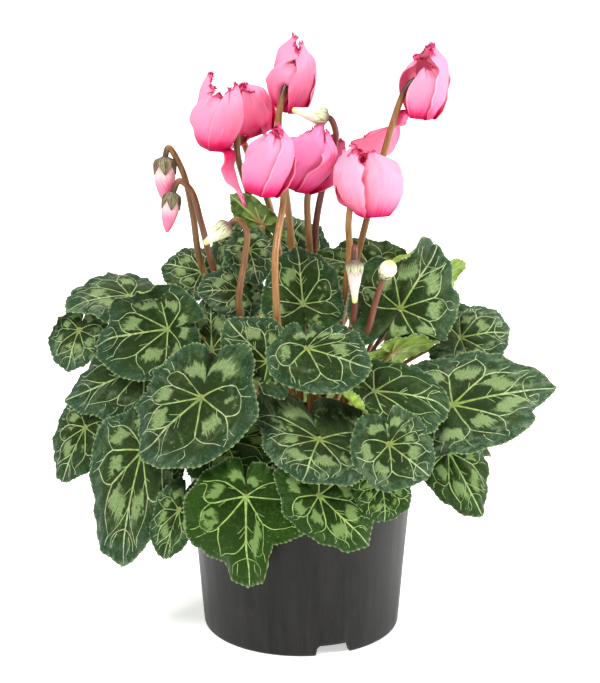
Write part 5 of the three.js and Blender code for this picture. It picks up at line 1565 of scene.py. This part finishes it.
def add_flower_stalk(parts, flower):
    """A stalk from the tuber to its bloom or bud, with painted shade where it goes into a bloom's mouth."""
    share = np.linspace(0, 1, STALK_STEPS)
    line = [FLOWER_ROOTS[flower["name"]], *flower["path"]]
    if "nose" in flower:
        line += stalk_end(flower)
        spans = len(line) - 1
        entry = (spans - 3) / spans
        # painted shade where the stalk goes into the mouth
        dark_end = smoothstep(share, entry - 0.5 / spans, entry - 0.1 / spans)
    else:
        base, ahead = bud_frame(flower)[:2]
        line += [flower["hook"], base - ahead * 2]
        dark_end = np.zeros(STALK_STEPS)
    radii = FLOWER_STALK_RADIUS - STALK_TAPER * smoothstep(share, 0.1, 0.95)
    points, triangles = tube(curve_through(line, share), radii, STALK_SIDES)
    parts.add(
        points, triangles, STALK, tan=flower["tan"], maroon=flower["maroon"],
        along=np.r_[np.repeat(share, STALK_SIDES), 0.0, 1.0],
        end=np.r_[np.repeat(dark_end, STALK_SIDES), 0.0, 1.0],
    )


def add_tuber(parts):
    rows, columns = TUBER_ROWS, TUBER_COLUMNS
    tilt, turn = np.meshgrid(np.linspace(-math.pi / 2, math.pi / 2, rows), turns(columns), indexing="ij")
    lumps = 1 - 0.012 * (1 + np.sin(turn * 7 + tilt * 5)) - 0.01 * (1 + np.sin(turn * 13 - tilt * 9))
    radius = TUBER_RADIUS * np.cos(tilt) * lumps
    depth = np.where(tilt < 0, TUBER_MIDDLE - TUBER_BOTTOM, TUBER_TOP - TUBER_MIDDLE)
    points = np.stack([radius * np.cos(turn), radius * np.sin(turn), TUBER_MIDDLE + depth * np.sin(tilt)], -1)
    parts.add(points, grid_triangles(rows, columns, closed=True), TUBER)


parts = Parts()
for flower in BLOOMS:
    add_bloom_cup(parts, flower)
    add_flower_stalk(parts, flower)
for flower in BUDS:
    add_bud_cup(parts, flower)
    add_flower_stalk(parts, flower)
add_tuber(parts)
parts.make("tuber_and_flower_stalks", STALK_MATERIALS)

# Soil and pot

AXIS = 0.01  # a turned section ends this close to the axis
POT_SIDES = 192
SOIL_SIDES = 160
SOIL_RINGS = 60
SOIL_BUMP = 0.7
SOIL_BUMP_RATE = 0.33  # bumps of the soil in radians for each millimetre
SOIL_ROUGH = 0.45  # how far the soil's points are moved up or down
SOIL_GAP = 0.5  # between the soil and the pot
CRUMBS = 260
CRUMB_SIDES = 7
CRUMB_SIZES = (0.7, 2.0)
RIM_START = POT_HEIGHT - RIM_DEPTH
FLOOR_TOP = FLOOR_UNDER + FLOOR_THICK
LEDGE_SLOPE = 0.8  # how much higher the outer corner of the ledge under the rim is
FOOT_ROUNDING = 2.2
RING_ROUNDING = 0.8
RIM_ROUNDING = 0.9
LIP_ROUNDING = 0.5
INNER_ROUNDING = 2.0
NOTCH_BELOW = 2  # how far the cut for a notch starts below the foot
NOTCH_CORNER = (1.2, 1.4)  # width and height of the chamfer at a notch's upper corners


def wall_at(height):
    return FOOT_RADIUS + WALL_TAPER * height


def add_crumb(parts, rng, furthest):
    """A small lump on the soil, not under the tuber."""
    angle, reach = rng.uniform(0, FULL_TURN), math.sqrt(rng.uniform(0.25, 1)) * furthest
    size = rng.uniform(*CRUMB_SIZES)
    section = [[AXIS, -0.6 * size], [size, -0.1 * size], [size * 0.7, 0.6 * size], [AXIS, 0.8 * size]]
    lump = lathe(section, CRUMB_SIDES)
    place = [reach * math.cos(angle), reach * math.sin(angle), SOIL_EDGE + 1.0]
    lump = lump * rng.uniform(0.75, 1.25, lump.shape) + place
    parts.add(lump, grid_triangles(len(section), CRUMB_SIDES, closed=True), 0)


def make_soil():
    rng = np.random.default_rng(9)
    bottom = FLOOR_TOP + SOIL_GAP
    edge = wall_at(SOIL_EDGE) - POT_WALL - SOIL_GAP
    outline = [[AXIS, bottom], [wall_at(bottom) - POT_WALL - 3, bottom], [wall_at(20) - POT_WALL - 0.7, 20]]
    outline += [[edge, SOIL_EDGE - 0.6]]
    under = len(outline)
    outline += [[edge * share, SOIL_EDGE + 0.8] for share in np.linspace(0.985, 0.02, SOIL_RINGS)]
    points = lathe(outline, SOIL_SIDES)
    top = points[under:]
    bumps = SOIL_BUMP * np.sin(top[..., 0] * SOIL_BUMP_RATE) * np.cos(top[..., 1] * SOIL_BUMP_RATE)
    points[under:, :, 2] += bumps + rng.uniform(-SOIL_ROUGH, SOIL_ROUGH, top.shape[:2])
    parts = Parts()
    parts.add(points, grid_triangles(len(outline), SOIL_SIDES, closed=True), 0)
    for _ in range(CRUMBS):
        add_crumb(parts, rng, edge - 3)
    parts.make("soil", [soil_material()])


def rounded(corner, radius, before, after, steps=5):
    """Points of a rounded corner of the pot's section, from the side of one point to another's."""
    corner, before, after = np.array(corner), np.array(before), np.array(after)
    a, b = corner + unit(before - corner) * radius, corner + unit(after - corner) * radius
    t = np.linspace(0, 1, steps)[:, None]
    return (a * (1 - t) ** 2 + corner * 2 * t * (1 - t) + b * t * t).tolist()


def pot_section():
    """The pot's section, from the middle of its foot up the outside and down the inside."""
    ring = FOOT_RADIUS - FOOT_RING
    ring_inner = [ring, 0.0]
    foot = [FOOT_RADIUS, 0.0]
    ledge_in = [wall_at(RIM_START), RIM_START]
    ledge_out = [wall_at(RIM_START) + RIM_PROUD, RIM_START + LEDGE_SLOPE]
    rim_top = [wall_at(POT_HEIGHT) + RIM_PROUD, POT_HEIGHT]
    lip = [wall_at(POT_HEIGHT) - POT_WALL, POT_HEIGHT]
    inner_foot = [wall_at(FLOOR_TOP) - POT_WALL, FLOOR_TOP]
    section = [[AXIS, FLOOR_UNDER], [ring - 2, FLOOR_UNDER]]
    section += rounded(ring_inner, RING_ROUNDING, section[-1], foot)
    section += rounded(foot, FOOT_ROUNDING, ring_inner, ledge_in, 8)
    section += [[wall_at(z), z] for z in np.linspace(8, RIM_START - 1, 10)]
    section += rounded(ledge_in, LIP_ROUNDING, [wall_at(80), 80], ledge_out, 4)
    section += rounded(ledge_out, LIP_ROUNDING, ledge_in, rim_top, 4)
    section += rounded(rim_top, RIM_ROUNDING, ledge_out, lip)
    section += rounded(lip, LIP_ROUNDING, rim_top, inner_foot, 4)
    section += rounded(inner_foot, INNER_ROUNDING, lip, [0, FLOOR_TOP])
    return section + [[AXIS, FLOOR_TOP]]


def notch_cutter(name, angle):
    """A block with two chamfered upper corners, through the pot's foot at an angle from the front."""
    half, slope, height = NOTCH_WIDTH / 2, NOTCH_SLOPE, NOTCH_HEIGHT
    chamfer_width, chamfer_height = NOTCH_CORNER
    right = [
        [half + 0.2, -NOTCH_BELOW],
        [half - slope * 0.8, height - chamfer_height],
        [half - slope - chamfer_width, height],
    ]
    left = [[-x, z] for x, z in right]
    corners = [left[0], *right, left[2], left[1]]
    near, far = -FOOT_RADIUS - 5, NOTCH_DEPTH - FOOT_RADIUS
    x, y, z = np.transpose([(across, depth, up) for depth in (near, far) for across, up in corners])
    cos, sin = math.cos(angle), math.sin(angle)
    points = np.stack([x * cos - y * sin, x * sin + y * cos, z], 1)
    n = len(corners)
    ends = [list(range(n)), list(range(2 * n - 1, n - 1, -1))]
    sides = [[k, n + k, n + (k + 1) % n, (k + 1) % n] for k in range(n)]
    mesh = bpy.data.meshes.new(name)
    mesh.from_pydata((points * MM).tolist(), [], ends + sides)
    mesh.update()
    cutter = bpy.data.objects.new(name, mesh)
    bpy.context.scene.collection.objects.link(cutter)
    return cutter


def cut_notches(pot):
    for i in range(NOTCH_COUNT):
        cutter = notch_cutter(f"notch_{i}", math.radians(FIRST_NOTCH + 360 / NOTCH_COUNT * i))
        bpy.context.view_layer.objects.active = pot
        cut = pot.modifiers.new("notch", "BOOLEAN")
        cut.operation, cut.solver, cut.object = "DIFFERENCE", "EXACT", cutter
        bpy.ops.object.modifier_apply(modifier=cut.name)
        bpy.data.objects.remove(cutter)


def make_pot():
    section = pot_section()
    parts = Parts()
    parts.add(lathe(section, POT_SIDES), grid_triangles(len(section), POT_SIDES, closed=True), 0)
    cut_notches(parts.make("pot", [pot_material()]))


make_soil()
make_pot()

# Stage, light and camera, in metres

scene = bpy.context.scene
FLOOR_REACH = 9
KEY_LIGHT = dict(place=(-0.7, -1.2, 1.6), aim=(0, 0, 0.17), size=0.6, power=41.0)
SIDE_LIGHT = dict(place=(1.3, -0.1, 0.45), aim=(0, 0, 0.08), size=0.5, power=18.0)
TOP_LIGHT = dict(place=(0.2, 0.5, 1.6), aim=(0, 0, 0.2), size=0.8, power=20.0)
SKY_STRENGTH = 0.52
CAMERA_PLACE = (-0.0006, -1.195, 0.512)
CAMERA_DOWN = 16.46  # degrees below the level
CAMERA_LENS, CAMERA_SENSOR = 123.34, 36.0  # in millimetres


def white_floor():
    mesh = bpy.data.meshes.new("floor")
    corners = [(-1, -1), (1, -1), (1, 1), (-1, 1)]
    mesh.from_pydata([(x * FLOOR_REACH, y * FLOOR_REACH, 0) for x, y in corners], [], [(0, 1, 2, 3)])
    s = Shade("floor")
    pale = s.mix(s.noise(s.object_place(), 40.0, 4.0), (252, 252, 252), (247, 247, 247))
    mesh.materials.append(s.finish(pale, 0.85, Emission_Color=pale, Emission_Strength=0.55))
    floor = bpy.data.objects.new("floor", mesh)
    scene.collection.objects.link(floor)
    return floor


def lamp(name, place, aim, size, power):
    data = bpy.data.lights.new(name, "AREA")
    data.energy, data.size = power, size
    light = bpy.data.objects.new(name, data)
    light.location = place
    light.rotation_mode = "QUATERNION"
    light.rotation_quaternion = (Vector(aim) - Vector(place)).to_track_quat("-Z", "Y")
    scene.collection.objects.link(light)


def set_world():
    world = bpy.data.worlds.new("studio")
    scene.world = world
    world.use_nodes = True
    background = world.node_tree.nodes["Background"]
    background.inputs["Color"].default_value = (1.0, 1.0, 1.0, 1.0)
    background.inputs["Strength"].default_value = SKY_STRENGTH


def set_camera():
    data = bpy.data.cameras.new("camera")
    data.lens, data.sensor_width = CAMERA_LENS, CAMERA_SENSOR
    data.clip_start, data.clip_end = 0.05, 50.0
    camera = bpy.data.objects.new("camera", data)
    camera.location = CAMERA_PLACE
    camera.rotation_euler = (math.radians(90 - CAMERA_DOWN), 0.0, 0.0)
    scene.collection.objects.link(camera)
    scene.camera = camera


floor = white_floor()
set_world()
lamp("key", **KEY_LIGHT)
lamp("side", **SIDE_LIGHT)
lamp("top", **TOP_LIGHT)
set_camera()
scene.view_settings.view_transform = "Standard"
scene.view_settings.look = "None"
